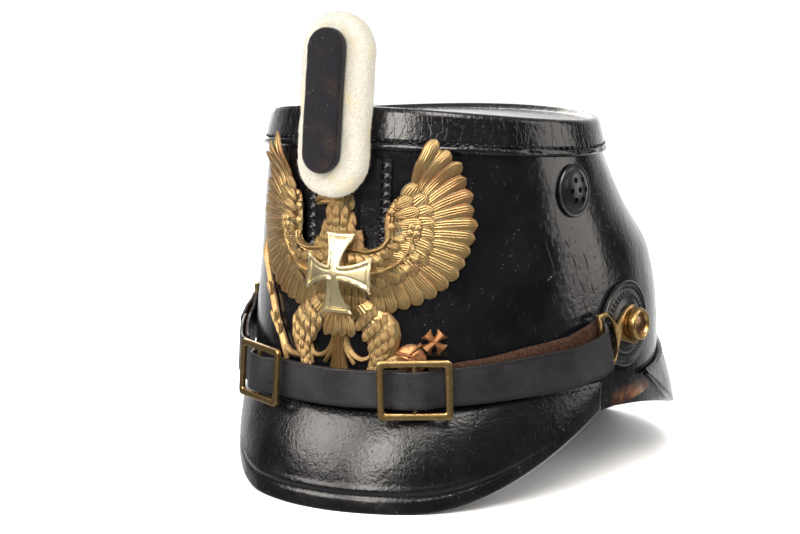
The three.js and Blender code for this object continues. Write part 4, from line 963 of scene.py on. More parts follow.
balls = []
quills, coverts, inners = len(eagle["quillTips"]), len(eagle["covertTips"]), len(eagle["innerTips"])
quillWidths = eagle["quillWidth"] * np.array([0.8, 0.84, 0.9, 0.94] + [0.94 * 1.08] * (quills - 4))
covertBows = [0.05, *np.linspace(-0.1, 0.12, coverts)[1:]]
for sign in (1, -1):
    # Backing under the quills, so that no leather shows between them
    for number in range(quills - 1):
        share = (number + 0.5) / (quills - 1)
        tip = (np.array(eagle["quillTips"][number]) + np.array(eagle["quillTips"][number + 1])) / 2
        root = alongTable(eagle["quillRoots"], share)
        end = mix(root, tip, eagle["backingReach"])
        layFeather(sign, root, end, eagle["quillWidth"] * eagle["backingWidth"], low=0.05, high=0.05,
                   dome=0.25, quill=0)
    layRow(sign, eagle["quillTips"], eagle["quillRoots"], quillWidths, np.linspace(0.1, -0.05, quills),
           low=0.7, high=0.6, dome=0.75, shingle=0.45, narrow=0.62)
    layRow(sign, eagle["covertTips"], eagle["covertRoots"], [eagle["covertWidth"]] * coverts, covertBows,
           low=1.3, high=1.95, dome=0.45, shingle=0.35, narrow=0.5)
    layRow(sign, eagle["innerTips"], eagle["innerRoots"], [eagle["innerWidth"]] * inners,
           np.linspace(-0.12, 0.1, inners), low=2, high=2.7, dome=0.4, shingle=0.3, narrow=0.55)
    # Shoulder: a smooth ground, a raised border and two rows of round scales
    layLimb(sign, [(4, 96.5, 5, 1.8), (12, 96, 5.4, 2.2), (19, 98.6, 5, 2.4), (23, 105, 4.6, 2.2),
                   (22.6, 113, 4.4, 1.9), (24.6, 120.5, 3.4, 1.7)])
    layLimb(sign, [(4, 91.4, 0.9, 2.6), (12, 91.6, 1, 2.9), (19, 93.6, 1, 3.1), (24.6, 97.4, 1.1, 3.2),
                   (28, 102.6, 1.1, 3.3), (29.2, 107, 1, 3.2)], power=0.6)
    layLimb(sign, [(5, 101.2, 0.9, 3), (12, 100.6, 1, 3.2), (18, 102.4, 1.1, 3.4), (20.6, 106.4, 1.1, 3.2)],
            power=0.8)
    for number in range(7):
        share = number / 6
        middle = alongTable(((6, 98.2), (11, 97.6), (16, 98.4), (20.4, 101.4), (23.2, 105.8)), share)
        outward = alongTable(((1.2, -3.4), (1.5, -3.2), (2.6, -2.8), (3.4, -1.6), (3.6, -0.4)), share)
        layScale(sign, middle - outward * 0.4, middle + outward * 0.9, 4.2, low=2.5, high=3, dome=0.7,
                 point=0.5, quill=0.15)
    for number in range(6):
        share = number / 5
        middle = alongTable(((7, 90.6), (13, 90), (19, 91.2), (24, 94.6), (27.8, 99.6)), share)
        outward = alongTable(((0.6, -4.6), (1, -4.6), (2.2, -4.4), (3.4, -3.4), (4.4, -2)), share)
        layScale(sign, middle, middle + outward, 4.8, low=2.1, high=2.5, dome=0.6, point=0.4)
    # Trefoil at the border's end, and the balls down the wing's inner edge
    for arc, height, radius in ((23.8, 120.8, 1.9), (20.6, 116.2, 2), (20.8, 110.4, 2), (20, 105.6, 1.3)):
        balls.append(layBall(sign, arc, height, radius, 0.9))
    for turn in range(4):
        angle = turn * math.pi / 2 + 0.6
        arc, height = 29.4 + 1.7 * math.cos(angle), 109.4 + 1.7 * math.sin(angle)
        balls.append(layBall(sign, arc, height, 1.7, 2.6, 0.6))
    # Thigh with rows of scales, and its foot
    layLimb(sign, [(8.4, 79, 4.2, 2), (13, 74, 6.4, 2.6), (18, 68.6, 7.4, 2.8), (18.4, 62.5, 6, 2.3),
                   (15.6, 56.8, 3.2, 1.6), (13.8, 53.4, 1.8, 1.2)])
    for line in range(6):
        share = line / 5
        middle = alongTable(((11.5, 75.6), (15, 72), (17.8, 68), (18.2, 64), (16.8, 60), (15.2, 56.6)), share)
        spread = (9.4, 11.4, 12.6, 11, 8, 5)[line]
        for number in range(4):
            offset = (number - 1.5) / 3 * spread * 0.82
            base = middle + np.array([0.72, 0.62]) * offset
            ground = 2.7 * max(1 - (offset / spread * 1.7) ** 2, 0.05) ** 0.6 * (1 - 0.3 * share)
            layScale(sign, base + np.array([0.8, 1.4]), base + np.array([-0.4, -4.0]), 3.6, low=ground + 0.1,
                     high=ground + 0.75, dome=0.45, point=0.4)
    # Tail scrolls
    layLimb(sign, [(1.6, 70, 1.3, 1.8), (3.4, 63, 1.3, 1.8), (6.4, 59, 1.2, 1.7), (10, 57.6, 1.1, 1.6),
                   (13, 59, 0.9, 1.4), (13.6, 61.4, 0.8, 1.2)], power=0.8)
    layLimb(sign, [(1, 66, 0.9, 1.8), (3.6, 60, 1, 1.8), (6.6, 55.6, 0.9, 1.5)], power=0.8)

# Body: a rounded ground under rows of pointed feathers, from the head to the tail
bodyRows = [(0, 127, 3, 1.6), (0, 122, 4.6, 2.4), (0, 116, 4.6, 2.6), (0, 110, 6.4, 2.2), (0, 103.5, 10.4, 2),
            (0, 95, 12.6, 2.4), (0, 86, 12.4, 2.6), (0, 79, 9.6, 2.6), (0, 74, 6, 2.2)]
layLimb(1, bodyRows)
bodyTable = np.array(bodyRows, float)
for line in range(15):
    height = 75.5 + line * 3.4
    half = np.interp(height, bodyTable[::-1, 1], bodyTable[::-1, 2])
    ground = np.interp(height, bodyTable[::-1, 1], bodyTable[::-1, 3])
    count = max(3, round(half * 2 / 2.7))
    for number in range(count):
        offset = (number + 0.5 + 0.5 * (line % 2)) / count * 2 - 1
        if offset > 1:
            continue
        arc = offset * half * 0.94
        rounded = ground * max(1 - offset ** 2, 0.02) ** 0.6
        layScale(1, (arc, height + 2.6), (arc + offset * 0.96, height - 3.4), 3.3, low=rounded - 0.15,
                 high=rounded + 0.5, dome=0.4, point=0.55, bow=0.04 * offset, narrow=0.7)
# Tail: a fluted stem with a collar of lobes
layLimb(1, [(0, 76, 5, 2), (0, 70, 5.2, 2.2), (0, 66, 3.2, 2), (0, 60, 2.8, 1.8), (0, 53.4, 3.8, 1.4)])
for arc, tipArc, low in ((-4.2, -6, 1.9), (4.2, 6, 1.9), (-1.9, -2.2, 2.4), (1.9, 2.2, 2.4)):
    layFeather(1, (arc * 0.8, 76), (tipArc, 66.4), 4.6, low=low, high=low + 0.4, dome=0.7, point=0.3)
for arc in (-2.4, -0.8, 0.8, 2.4):
    layLimb(1, [(arc * 0.7, 68, 0.75, 2.9), (arc * 0.8, 60, 0.75, 2.6), (arc * 1.3, 53.4, 0.9, 2.2)],
            power=0.8)
# Head: turned to the wearer's right, with a hooked beak under the badge
layLimb(1, [(3.6, 121.4, 2.6, 3), (0, 122.4, 3.6, 3.6), (-4.4, 122, 3, 3.2), (-7.4, 121.2, 1.9, 2.8),
            (-10, 119.2, 0.7, 2)])
layLimb(1, [(-3, 119.4, 1.5, 3), (-6.6, 119, 1.1, 2.6), (-9.4, 118, 0.6, 2)], power=0.8)
# Sceptre, and the orb with its cross
layLimb(1, [(-17.6, 56.6, 1.4, 2), (-24, 56.4, 1.5, 2), (-29.6, 58.4, 1.6, 2)])
layLimb(1, [(-28.6, 53.6, 1.3, 1.8), (-31, 59.6, 2.2, 2.2), (-34, 64.4, 1.5, 1.9), (-37.4, 69.6, 1.3, 1.8),
            (-40, 74.4, 1.7, 2.2), (-43, 79.6, 1.2, 1.8), (-48, 88.6, 1.2, 2), (-50.4, 92.6, 1.8, 2.4),
            (-53, 97, 1.3, 1.4), (-54.6, 99.4, 1, 0.6)])
for arc, height in ((-36.8, 66.4), (-33, 62.4), (-41.6, 77.6)):
    for tip in ((arc - 3.4, height + 5.4), (arc + 1.2, height + 6.2)):
        layScale(1, (arc, height), tip, 3, low=1.4, high=1.9, dome=0.5)
layLimb(1, [(15.4, 56.8, 1.6, 1.9), (20, 57.6, 1.7, 2), (24.4, 59, 1.7, 2)])
orbFrom = len(eagleParts)
balls.append(layBall(1, 29.6, 58.6, 6.3, 0.2, 0.5))
layLimb(1, [(24.2, 61.4, 0.9, 3.4), (29.2, 60.6, 1, 4.4), (34.6, 57.4, 0.9, 3.2)], power=0.8)
layLimb(1, [(29.6, 61.2, 0.8, 4), (32, 63.6, 0.9, 3.6), (33.6, 65, 0.8, 2.6)], power=0.8)
for turn in range(4):
    angle = math.radians(47 + 90 * turn)
    middle = np.array([38.4, 65.8])
    tip = middle + 4.5 * np.array([math.cos(angle), math.sin(angle)])
    layLimb(1, [(*middle, 1.1, 2.6), (*mix(middle, tip, 0.5), 1.4, 2.6), (*tip, 2.7, 2.3)], blank=scaleBlank,
            power=0.5)

for piece in eagleParts[orbFrom:] + balls[-1:]:
    paint(piece, "copper", np.full(len(piece.data.vertices), 0.8))

eagleMesh = joinPieces("eagleRelief", eagleParts)
useModifier(eagleMesh, "SOLIDIFY", thickness=eagle["thickness"] * mm, offset=-1)
ballMesh = joinPieces("eagleBalls", balls)
eaglePiece = joinPieces("eagleBadge", [eagleMesh, ballMesh])
for blank in (featherBlank, scaleBlank):
    bpy.data.objects.remove(blank)

# Stamped brass, worn golden on its high parts, with brown and faintly green oxide in its hollows; the brown
# darkening of grooves, feather edges, feather roots and the feet of limbs and balls is painted shade as well
# as oxide
brassLook = {"high": "#b99c6b", "middle": "#957850", "hollow": "#50391c", "green": "#7d9480",
             "copper": "#a36c48", "shine": 0.4, "dull": 0.56, "barbDepth": 0.16, "hammerDepth": 0.12,
             "stain": 3.2, "drift": 17, "greenPatch": 5, "clean": 1.0, "tarnished": 0.7}
finish = Finish("agedTombak", brassLook["middle"])
relief = finish.mask("relief")
stain = finish.noise(brassLook["stain"], 6.0, Roughness=0.65)
height = finish.maths("MULTIPLY_ADD", stain, 0.55, relief)
# The relief ramp paints shade: dark brown in grooves, at feather edges and under overlapping feathers, mixed
# with the brown oxide
tone = finish.ramp(height, (0.38, brassLook["hollow"]), (0.72, brassLook["middle"]), (1.0, brassLook["high"]))
drift = finish.ramp(finish.noise(brassLook["drift"], 3.0), (0.5, 0.0), (0.72, 0.6))
coppery = finish.blend(finish.maths("MAXIMUM", drift, finish.mask("copper")), tone, brassLook["copper"])
lowness = finish.maths("SUBTRACT", 0.62, relief, use_clamp=True)
green = finish.ramp(finish.noise(brassLook["greenPatch"], 5.0, Roughness=0.7), (0.5, 0.0), (0.62, 1.0))
barbInputs = {"Vector": finish.spot.node.outputs["UV"], "Scale": 2.2, "Distortion": 1.2, "Detail": 2.0}
barbs = finish.add("TexWave", "Fac", barbInputs, wave_type="BANDS", bands_direction="X")
barbBump = finish.bump(barbs, brassLook["barbDepth"], Strength=0.8)
greened = finish.maths("MULTIPLY", green, lowness)
finish.feed({"Base Color": finish.blend(greened, coppery, brassLook["green"]),
             "Roughness": finish.spread(height, 0.3, 1.1, brassLook["dull"], brassLook["shine"]),
             "Metallic": finish.spread(height, 0.45, 1.15, brassLook["tarnished"], brassLook["clean"]),
             "Normal": finish.bump(stain, brassLook["hammerDepth"], barbBump)})
finishPiece(eaglePiece, finish.material, "stamped_brass", "eagle_plate", shade=50)
print("eagle done", len(eaglePiece.data.polygons))


# Cross on the eagle: domed, four flared arms, a raised rim round a bare field
cross = {"span": 31, "armEnd": 14.4, "waist": 5.8, "height": 92, "arc": 2.4, "thickness": 1.2, "rim": 0.8,
         "rimWidth": 1.0, "dome": 4.2, "stand": 7.7, "yaw": -8, "lean": 3, "flare": 1.9}


def flatSkin(name, points, closed=False, values=None):
    piece = skin(name, points, values=values)
    writePoints(piece, readPoints(piece) - np.array([0, shellForm["backward"] * mm, 0]))
    if closed:
        closeUp(piece)
    return piece


def placeIn(piece, place):
    writePoints(piece, toScene(inFrame(place, readPoints(piece) / mm)))


def layOn(piece, centreArc, centreHeight):
    flat = readPoints(piece) / mm
    writePoints(piece, toScene(onShell(centreArc + flat[:, 0], centreHeight + flat[:, 1], flat[:, 2])))


def turnFlat(piece, axis, degrees):
    turn = np.array(Matrix.Rotation(math.radians(degrees), 3, axis))
    writePoints(piece, readPoints(piece) @ turn.T)


def makeCross():
    half, waist, end = cross["span"] / 2, cross["waist"] / 2, cross["armEnd"] / 2
    reach = np.linspace(0, 1, 60)
    edgeWidth = mix(waist, end, reach ** cross["flare"])
    radius = mix(waist, half, reach)
    sideA = np.stack([radius, edgeWidth], 1)
    endLine = np.stack([np.full(30, half), np.linspace(-end, end, 30)], 1)
    armLine = np.concatenate([sideA, endLine, sideA * np.array([1, -1])])
    quarter = np.array([[0, -1], [1, 0]])
    outline = [armLine]
    for turn in range(3):
        outline.append(outline[-1] @ quarter.T)
    outline = np.concatenate(outline)
    across = np.sin(np.linspace(-1, 1, 37) * math.pi / 2)
    down = np.concatenate([np.linspace(0, 0.84, 24), np.linspace(0.865, 1, 9)])
    grids = []
    flat = np.stack(np.meshgrid(mix(waist, half, down), across, indexing="ij"), -1)
    flat[..., 1] *= mix(waist, end, down ** cross["flare"])[:, None]
    grids.append(flat)
    for turn in range(3):
        grids.append(grids[-1] @ quarter.T)
    grids.append(np.stack(np.meshgrid(across * waist, across * waist, indexing="ij"), -1))
    sheets = []
    for grid in grids:
        distance = np.linalg.norm(grid[..., None, :] - outline[None, None], axis=-1).min(-1)
        rim = cross["rim"] * (1 - smooth(distance, cross["rimWidth"], cross["rimWidth"] + 0.5))
        rim -= 0.35 * (1 - smooth(distance, 0, 0.4)) + 0.2 * np.exp(-((distance - 2.0) / 0.25) ** 2)
        far = np.linalg.norm(grid, axis=-1) / half
        rise = cross["thickness"] + rim + cross["dome"] * np.maximum(0, 1 - far ** 1.6)
        points = np.concatenate([grid, rise[..., None]], -1)
        relief = np.clip(0.35 + rim / cross["rim"] * 0.6 + 0.25 * smooth(distance, 1.5, 3.5), 0, 1)
        sheets.append(flatSkin("crossSheet", points, values={"relief": relief}))
    plate = joinPieces("ironCross", sheets)
    closeUp(plate, within=2e-5)
    up = np.mean([face.normal.z for face in plate.data.polygons])
    if up < 0:
        plate.data.flip_normals()
    useModifier(plate, "SOLIDIFY", thickness=cross["thickness"] * mm * 0.8, offset=-1)
    turnFlat(plate, "X", -cross["lean"])
    turnFlat(plate, "Y", cross["yaw"])
    point, along, up, out = frameOn(cross["arc"], cross["height"])
    placeIn(plate, (point + out * cross["stand"], along, up, out))
    return plate


def metalFinish(name, tones, shine, dull, metallic=1.0, attribute=None):
    high, low, dark = tones
    finish = Finish(name, high, Metallic=metallic)
    stain = finish.noise(4.0, 6.0, Roughness=0.65)
    share = finish.maths("MULTIPLY_ADD", finish.mask(attribute), 0.55, stain) if attribute else stain
    finish.feed({"Base Color": finish.ramp(share, (0.28, dark), (0.48, low), (0.68, high)),
                 "Roughness": finish.spread(stain, 0.3, 0.7, dull, shine),
                 "Normal": finish.bump(finish.noise(0.5, 2.0), 0.02, finish.bump(stain, 0.08))})
    return finish.material


# Nickel silver, rubbed pale on the rim and dome, brownish against the rim's inner edge
crossFinish = metalFinish("rubbedNickelSilver", ("#d2c49e", "#b3a37b", "#776142"), 0.34, 0.48,
                          attribute="relief")
# Rolled brass of the slides and fittings, polished by handling, with duller brown patches
brassFinish = metalFinish("handledBrass", ("#c2a878", "#a58a5c", "#6e5330"), 0.26, 0.42)
# Tinplate under black varnish
tinFinish = metalFinish("blackenedTin", ("#131316", "#0d0d0f", "#1f1c1b"), 0.16, 0.34, metallic=0.0)
finishPiece(makeCross(), crossFinish, "pale_nickel", "eagle_cross", shade=40)
print("cross done")


# Slides: rounded rectangular brass frames with a middle bar
def roundedLoop(halfLength, halfHeight, corner, perCorner=8, perSide=10):
    points = []
    for quarter, (sideX, sideY) in enumerate(((1, 1), (-1, 1), (-1, -1), (1, -1))):
        for angle in np.linspace(quarter, quarter + 1, perCorner + 1) * math.pi / 2:
            points.append((sideX * (halfLength - corner) + corner * math.cos(angle),
                           sideY * (halfHeight - corner) + corner * math.sin(angle)))
    loop = []
    for at, point in enumerate(points):
        loop.append(point)
        if at % (perCorner + 1) == perCorner:
            after = points[(at + 1) % len(points)]
            for step in range(1, perSide):
                loop.append(tuple(mix(np.array(point), np.array(after), step / perSide)))
    loop.append(loop[0])
    return np.array(loop)


def roundBar(turns=16, power=0.5):
    angle = np.linspace(0, 2 * math.pi, turns + 1)
    return (np.sign(np.cos(angle)) * np.abs(np.cos(angle)) ** power,
            np.sign(np.sin(angle)) * np.abs(np.sin(angle)) ** power)


def makeSlide(name, centre, turn, node):
    halfLength, halfHeight, bar = slide["length"] / 2, slide["height"] / 2, slide["bar"]
    outerLoop = roundedLoop(halfLength, halfHeight, 2.0)
    innerLoop = roundedLoop(halfLength - bar, halfHeight - bar, 0.8)
    across, through = roundBar()
    rows = []
    for a, z in zip(across, through):
        loop = mix(innerLoop, outerLoop, (a + 1) / 2)
        rows.append(np.concatenate([loop, np.full((len(loop), 1), z * slide["thickness"] / 2)], 1))
    ring = flatSkin(name, np.array(rows), closed=True)
    along = np.linspace(-halfHeight + bar * 0.6, halfHeight - bar * 0.6, 12)
    barDepth = slide["thickness"] / 2 * 0.96
    rows = []
    for a, z in zip(across, through):
        rows.append(np.stack([np.full(12, a * bar * 0.28), along, np.full(12, z * barDepth)], 1))
    middleBar = flatSkin(name + "Bar", np.array(rows))
    closeUp(middleBar, fill=True)
    whole = joinPieces(name, [ring, middleBar])
    turnFlat(whole, "Y", math.degrees(turn))
    turnFlat(whole, "Z", math.degrees(slide["slope"] * strapSlope(centre)))
    point, along, up, out = frameOn(centre, float(strapHeight(centre)))
    placeIn(whole, (point + out * (slide["stand"] + barShare * math.sin(turn)), along, up, out))
    return finishPiece(whole, brassFinish, "stamped_brass", node)


makeSlide("slideLeft", slide["leftArc"], 0, "buckle_left")
makeSlide("slideRight", slide["rightArc"], slide["rightTurn"], "buckle_right")
print("slides done")


# Side posts, cockades, fittings and vents
def turned(name, profile, segments, ripple=None, values=None):
    profile = np.array(profile, float)
    angle = np.linspace(0, 2 * math.pi, segments + 1)
    radius, rise = profile[:, :1], profile[:, 1:2]
    lift = rise if ripple is None else rise + ripple(radius, angle[None, :])
    points = np.stack(np.broadcast_arrays(radius * np.cos(angle), radius * np.sin(angle), lift), -1)
    return flatSkin(name, points, closed=True, values=values)


cockade = {"teeth": 40, "toothDepth": 0.55}
vent = {"radius": 10.6, "wall": 1.3, "dome": 2.2, "hole": 1.25, "pitch": 4.6,
        "squash": 0.9, "shift": 0.9}
postSpots = [(0, gap), (4.4, gap), (4.8, gap + 0.3), (4.8, 5.4), (4.95, 5.7), (5.9, 5.8), (6.35, 6.0),
             (6.6, 6.5), (6.6, 8.1), (6.45, 8.6), (6.1, 8.95), (5.6, 9.1), (5.1, 8.95), (4.85, 8.6),
             (4.7, 8.1), (4.35, 7.75),
             (3.8, 7.8), (3.0, 8.05), (2.0, 8.3), (1.0, 8.42), (0, 8.45)]
copper = np.array([[1.0 if radius < 4.6 and rise > 7 else 0.0] for radius, rise in postSpots])

# The posts: brass round a browner, coppery cup
finish = Finish("wornBrassPost", "#c79f58", Metallic=1.0)
stain = finish.noise(2.4, 5.0, Roughness=0.6)
brassTone = finish.ramp(stain, (0.3, "#80603a"), (0.5, "#b8975e"), (0.7, "#d8c08a"))
copperTone = finish.ramp(stain, (0.3, "#3d2a1e"), (0.5, "#7a5a43"), (0.7, "#ad8a6c"))
finish.feed({"Base Color": finish.blend(finish.mask("centre"), brassTone, copperTone),
             "Roughness": finish.spread(stain, 0.3, 0.7, 0.42, 0.22)})
postFinish = finish.material

cockadeSpots = ((5.1, 0), (16.4, 0), (17.2, 0.3), (17.4, 0.9), (17.25, 1.9), (16.8, 2.45), (16.2, 2.6),
                (15.6, 2.45), (15.1, 1.9), (14.8, 1.65), (14.4, 1.65), (14.0, 1.9), (13.5, 2.3), (12.9, 2.5),
                (12.3, 2.5), (11.7, 2.3), (11.3, 2.0), (10.9, 2.0), (9.6, 2.4), (8, 2.68), (6.4, 2.7),
                (5.3, 2.7), (5.1, 2.5), (5.1, 0))


def cockadeTeeth(radius, angle):
    belt = smooth(radius, 11.5, 12.2) * (1 - smooth(radius, 13.4, 14.1))
    return -cockade["toothDepth"] * belt * np.abs(np.cos(angle * cockade["teeth"] / 2)) ** 3


def makeVent(name, sign, node):
    rim, dome = vent["radius"], vent["dome"]
    spots = ((0, dome), (rim * 0.5, dome * 0.6), (rim * 0.86, 0), (rim - 0.2, 0), (rim, 0.3), (rim, 0.9),
             (rim - 0.4, 1.3), (rim - 0.9, 1.25), (rim - 1.3, 0.95), (rim - 1.7, 1.05), (rim * 0.72, 2.0),
             (rim * 0.6, 2.6), (rim * 0.4, 3.1), (rim * 0.2, 3.4), (0, dome + vent["wall"]))
    cover = turned(name, np.array(spots) + (0, gap), 64)
    drills = []
    for reach, turn in [(0, 0)] + [(vent["pitch"], turn * math.pi / 3) for turn in range(6)]:
        x, y = reach * math.cos(turn), reach * math.sin(turn)
        bpy.ops.object.select_all(action="DESELECT")
        bpy.ops.mesh.primitive_cylinder_add(vertices=20, radius=vent["hole"] * mm, depth=14 * mm,
                                            location=(x * mm, y * mm, 0))
        bpy.ops.object.transform_apply(location=True)
        drills.append(bpy.context.object)
    drill = joinPieces("ventDrill", drills)
    drillOut(cover, drill)
    writePoints(cover, readPoints(cover) * np.array([vent["squash"], 1, 1]))
    height = shell["ventHeight"]
    layOn(cover, arcAt(sign * shell["ventAngle"], height) + sign * vent["shift"], height)
    return finishPiece(cover, tinFinish, "blackened_tin", node, shade=35)


for sideName, sign in (("Left", 1), ("Right", -1)):
    node = sideName.lower()
    stud = turned("post" + sideName, postSpots, 56, values={"centre": copper})
    for face in stud.data.polygons:
        face.use_smooth = True
    placeIn(stud, frameAt(sign * post["angle"], post["height"]))
    finishPiece(stud, postFinish, "brass_fittings", "post_" + node)
    disc = turned("cockade" + sideName, np.array(cockadeSpots) + (0, gap), 240, cockadeTeeth)
    layOn(disc, arcAt(sign * post["angle"], post["height"]), post["height"])
    finishPiece(disc, tinFinish, "blackened_tin", "cockade_" + node)
    fork = copyNode("fitting_" + node, "fitting" + sideName)
    useModifier(fork, "BEVEL", width=0.5 * mm, segments=3, limit_method="ANGLE", angle_limit=math.radians(35))
    finishPiece(fork, brassFinish, "brass_fittings", "fitting_" + node)
    makeVent("vent" + sideName, sign, "vent_" + node)
print("fittings and vents done")


# Badge: an oval wool pad with a smaller black one on it, held by a wire in the pocket
badge = {
    "height": 71.4, "width": 30, "thickness": 10.7, "round": 4.4, "bottom": 121.6, "stand": 7, "lean": 6.5,
    "centreHeight": 56, "centreWidth": 15.8, "centreThickness": 4.4, "centreRound": 1.2, "centreRise": 1.2,
    "centreShift": -0.7, "swell": 0.3, "around": 200, "centreAround": 160, "lump": 0.3, "centreLump": 0.12,
    "fibres": 9000, "fibreLength": 0.9, "fibreWidth": 0.07,
}
badgeBack = float(shellAt(0.0, badge["bottom"])[1]) - badge["stand"]
badgeTurn = math.pi / 2 - math.radians(badge["lean"])


def badgePlace(points):
    x, y, z = points[..., 0], points[..., 1] + badge["height"] / 2, points[..., 2]
    return np.stack([x, badgeBack + y * math.cos(badgeTurn) - z * math.sin(badgeTurn),
                     badge["bottom"] + y * math.sin(badgeTurn) + z * math.cos(badgeTurn)], -1)


# A ring of points round an oval with straight sides, from its right-hand side
def ovalRing(width, height, inset, rise, around):
    half, straight = width / 2, (height - width) / 2
    end, side = math.pi * half, 2 * straight
    gone = np.linspace(0, 2 * (end + side), around + 1)
    lap = np.mod(gone, end + side)
    way = 1 - 2 * (np.floor(gone / (end + side)) % 2)
    turn = np.minimum(lap, end) / half
    x = (half - inset) * np.cos(turn)
    y = straight + (half - inset) * np.sin(turn) - np.maximum(lap - end, 0)
    return np.stack([x * way, y * way, np.full(around + 1, rise)], 1)


def ovalPad(name, width, height, thickness, rounding, crown, around, lump):
    rows = []
    for inset in (width / 2, width * 0.4, width * 0.3, width * 0.2, rounding + 0.4):
        rows.append(ovalRing(width, height, inset, 0, around))
    for turn in np.linspace(0, math.pi / 2, 8):
        inset, rise = rounding * (1 - math.sin(turn)), rounding * (1 - math.cos(turn))
        rows.append(ovalRing(width, height, inset, rise, around))
    for turn in np.linspace(0, math.pi / 2, 10):
        rise = thickness - rounding * (1 - math.sin(turn))
        rows.append(ovalRing(width, height, rounding * (1 - math.cos(turn)), rise, around))
    for share in np.linspace(0.08, 1, 16):
        inset = mix(rounding, width / 2, share)
        rows.append(ovalRing(width, height, inset, thickness + crown * math.sin(share * math.pi / 2), around))
    pad = flatSkin(name, np.array(rows), closed=True)
    points = readPoints(pad) / mm
    normals = np.zeros(len(pad.data.vertices) * 3)
    pad.data.vertices.foreach_get("normal", normals)
    normals = normals.reshape(-1, 3)
    spots = [Vector(point) for point in points]
    push = np.array([noise.noise(spot * 0.14) * 1.4 + noise.noise(spot * 0.5 + Vector((7, 1, 3))) * 0.7
                     + noise.noise(spot * 1.5) * 0.4 for spot in spots]) * lump
    points = points + normals * np.minimum(push, lump)[:, None] * smooth(points[:, 2], 0.2, 1.5)[:, None]
    return pad, points


def woolFinish(name, pale, middle, stainTone, spotTone, spotShare):
    finish = Finish(name, middle, Roughness=0.95, IOR=1.45)
    fibre = finish.noise(0.8, 4.0, Roughness=0.7, Distortion=0.6)
    tone = finish.ramp(fibre, (0.3, middle), (0.65, pale))
    cloud = finish.ramp(finish.noise(11, 4.0, Roughness=0.6), (0.52, 0.0), (0.74, 0.75))
    lint = finish.ramp(finish.cells(2.6), (0.06, spotShare), (0.13, 0.0))
    finish.feed({"Sheen Weight": 0.08, "Sheen Roughness": 0.5, "Specular IOR Level": 0.2,
                 "Base Color": finish.blend(lint, finish.blend(cloud, tone, stainTone), spotTone),
                 "Normal": finish.bump(fibre, 0.35, Strength=0.9)})
    return finish.material


# Felted white wool, gone ivory, with a few rubbed yellow patches; and black wool cloth with pale lint
whiteWool = woolFinish("feltedWhiteWool", "#aaa79c", "#8e8b82", "#ab9a73", "#9c8a60", 0.3)
blackWool = woolFinish("feltedBlackWool", "#131218", "#08070b", "#2a2018", "#6b6560", 0.5)


def nap(name, source, count, length, width, finish, slot, seed):
    # Short fibres that stand out of the felt, each a bent sliver
    source.data.calc_loop_triangles()
    triangles = source.data.loop_triangles
    corners = np.array([[source.data.vertices[v].co for v in tri.vertices] for tri in triangles])
    sides = np.cross(corners[:, 1] - corners[:, 0], corners[:, 2] - corners[:, 0])
    area = np.linalg.norm(sides, axis=1)
    random = np.random.default_rng(seed)
    chosen = random.choice(len(corners), count, p=area / area.sum())
    a, b = random.random(count), random.random(count)
    over = a + b > 1
    a[over], b[over] = 1 - a[over], 1 - b[over]
    tri = corners[chosen]
    base = tri[:, 0] + (tri[:, 1] - tri[:, 0]) * a[:, None] + (tri[:, 2] - tri[:, 0]) * b[:, None]
    normal = sides[chosen] / area[chosen][:, None]
    lean = unit(np.cross(normal, random.normal(size=(count, 3))))
    across = np.cross(normal, lean)
    reach = length * mm * random.uniform(0.5, 1.1, count)[:, None]
    wide = width * mm / 2
    middle = base + normal * reach * 0.45 + lean * reach * 0.25
    tip = base + normal * reach * random.uniform(0.5, 0.9, count)[:, None] + lean * reach * 0.75
    verts = np.stack([base - across * wide, base + across * wide, middle + across * wide * 0.8,
                      middle - across * wide * 0.8, tip], 1).reshape(-1, 3)
    start = np.arange(count)[:, None] * 5
    quads = (start + np.array([[0, 1, 2, 3]])).tolist()
    tips = (start + np.array([[3, 2, 4]])).tolist()
    mesh = bpy.data.meshes.new(name)
    mesh.from_pydata(verts.tolist(), [], quads + tips)
    return finishPiece(addObject(name, mesh), finish, slot)


padPiece, padPoints = ovalPad("badgePad", badge["width"], badge["height"], badge["thickness"], badge["round"],
                              badge["swell"], badge["around"], badge["lump"])
writePoints(padPiece, toScene(badgePlace(padPoints)))
finishPiece(padPiece, whiteWool, "white_wool", "badge_pad", shade=60)
centrePiece, centrePoints = ovalPad("badgeCentre", badge["centreWidth"], badge["centreHeight"],
                                    badge["centreThickness"], badge["centreRound"], badge["swell"],
                                    badge["centreAround"], badge["centreLump"])
centrePoints += np.array([badge["centreShift"], badge["centreRise"], badge["thickness"] + gap + 0.25])
writePoints(centrePiece, toScene(badgePlace(centrePoints)))
finishPiece(centrePiece, blackWool, "black_wool", "badge_centre", shade=60)
nap("whiteNap", padPiece, badge["fibres"], badge["fibreLength"], badge["fibreWidth"], whiteWool,
    "white_wool", 3)
nap("blackNap", centrePiece, badge["fibres"] // 2, badge["fibreLength"] * 0.6, badge["fibreWidth"], blackWool,
    "black_wool", 5)
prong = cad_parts["badge_prong"]
prong.data.materials.clear()
prong.data.materials.append(brassFinish)
print("badge done")


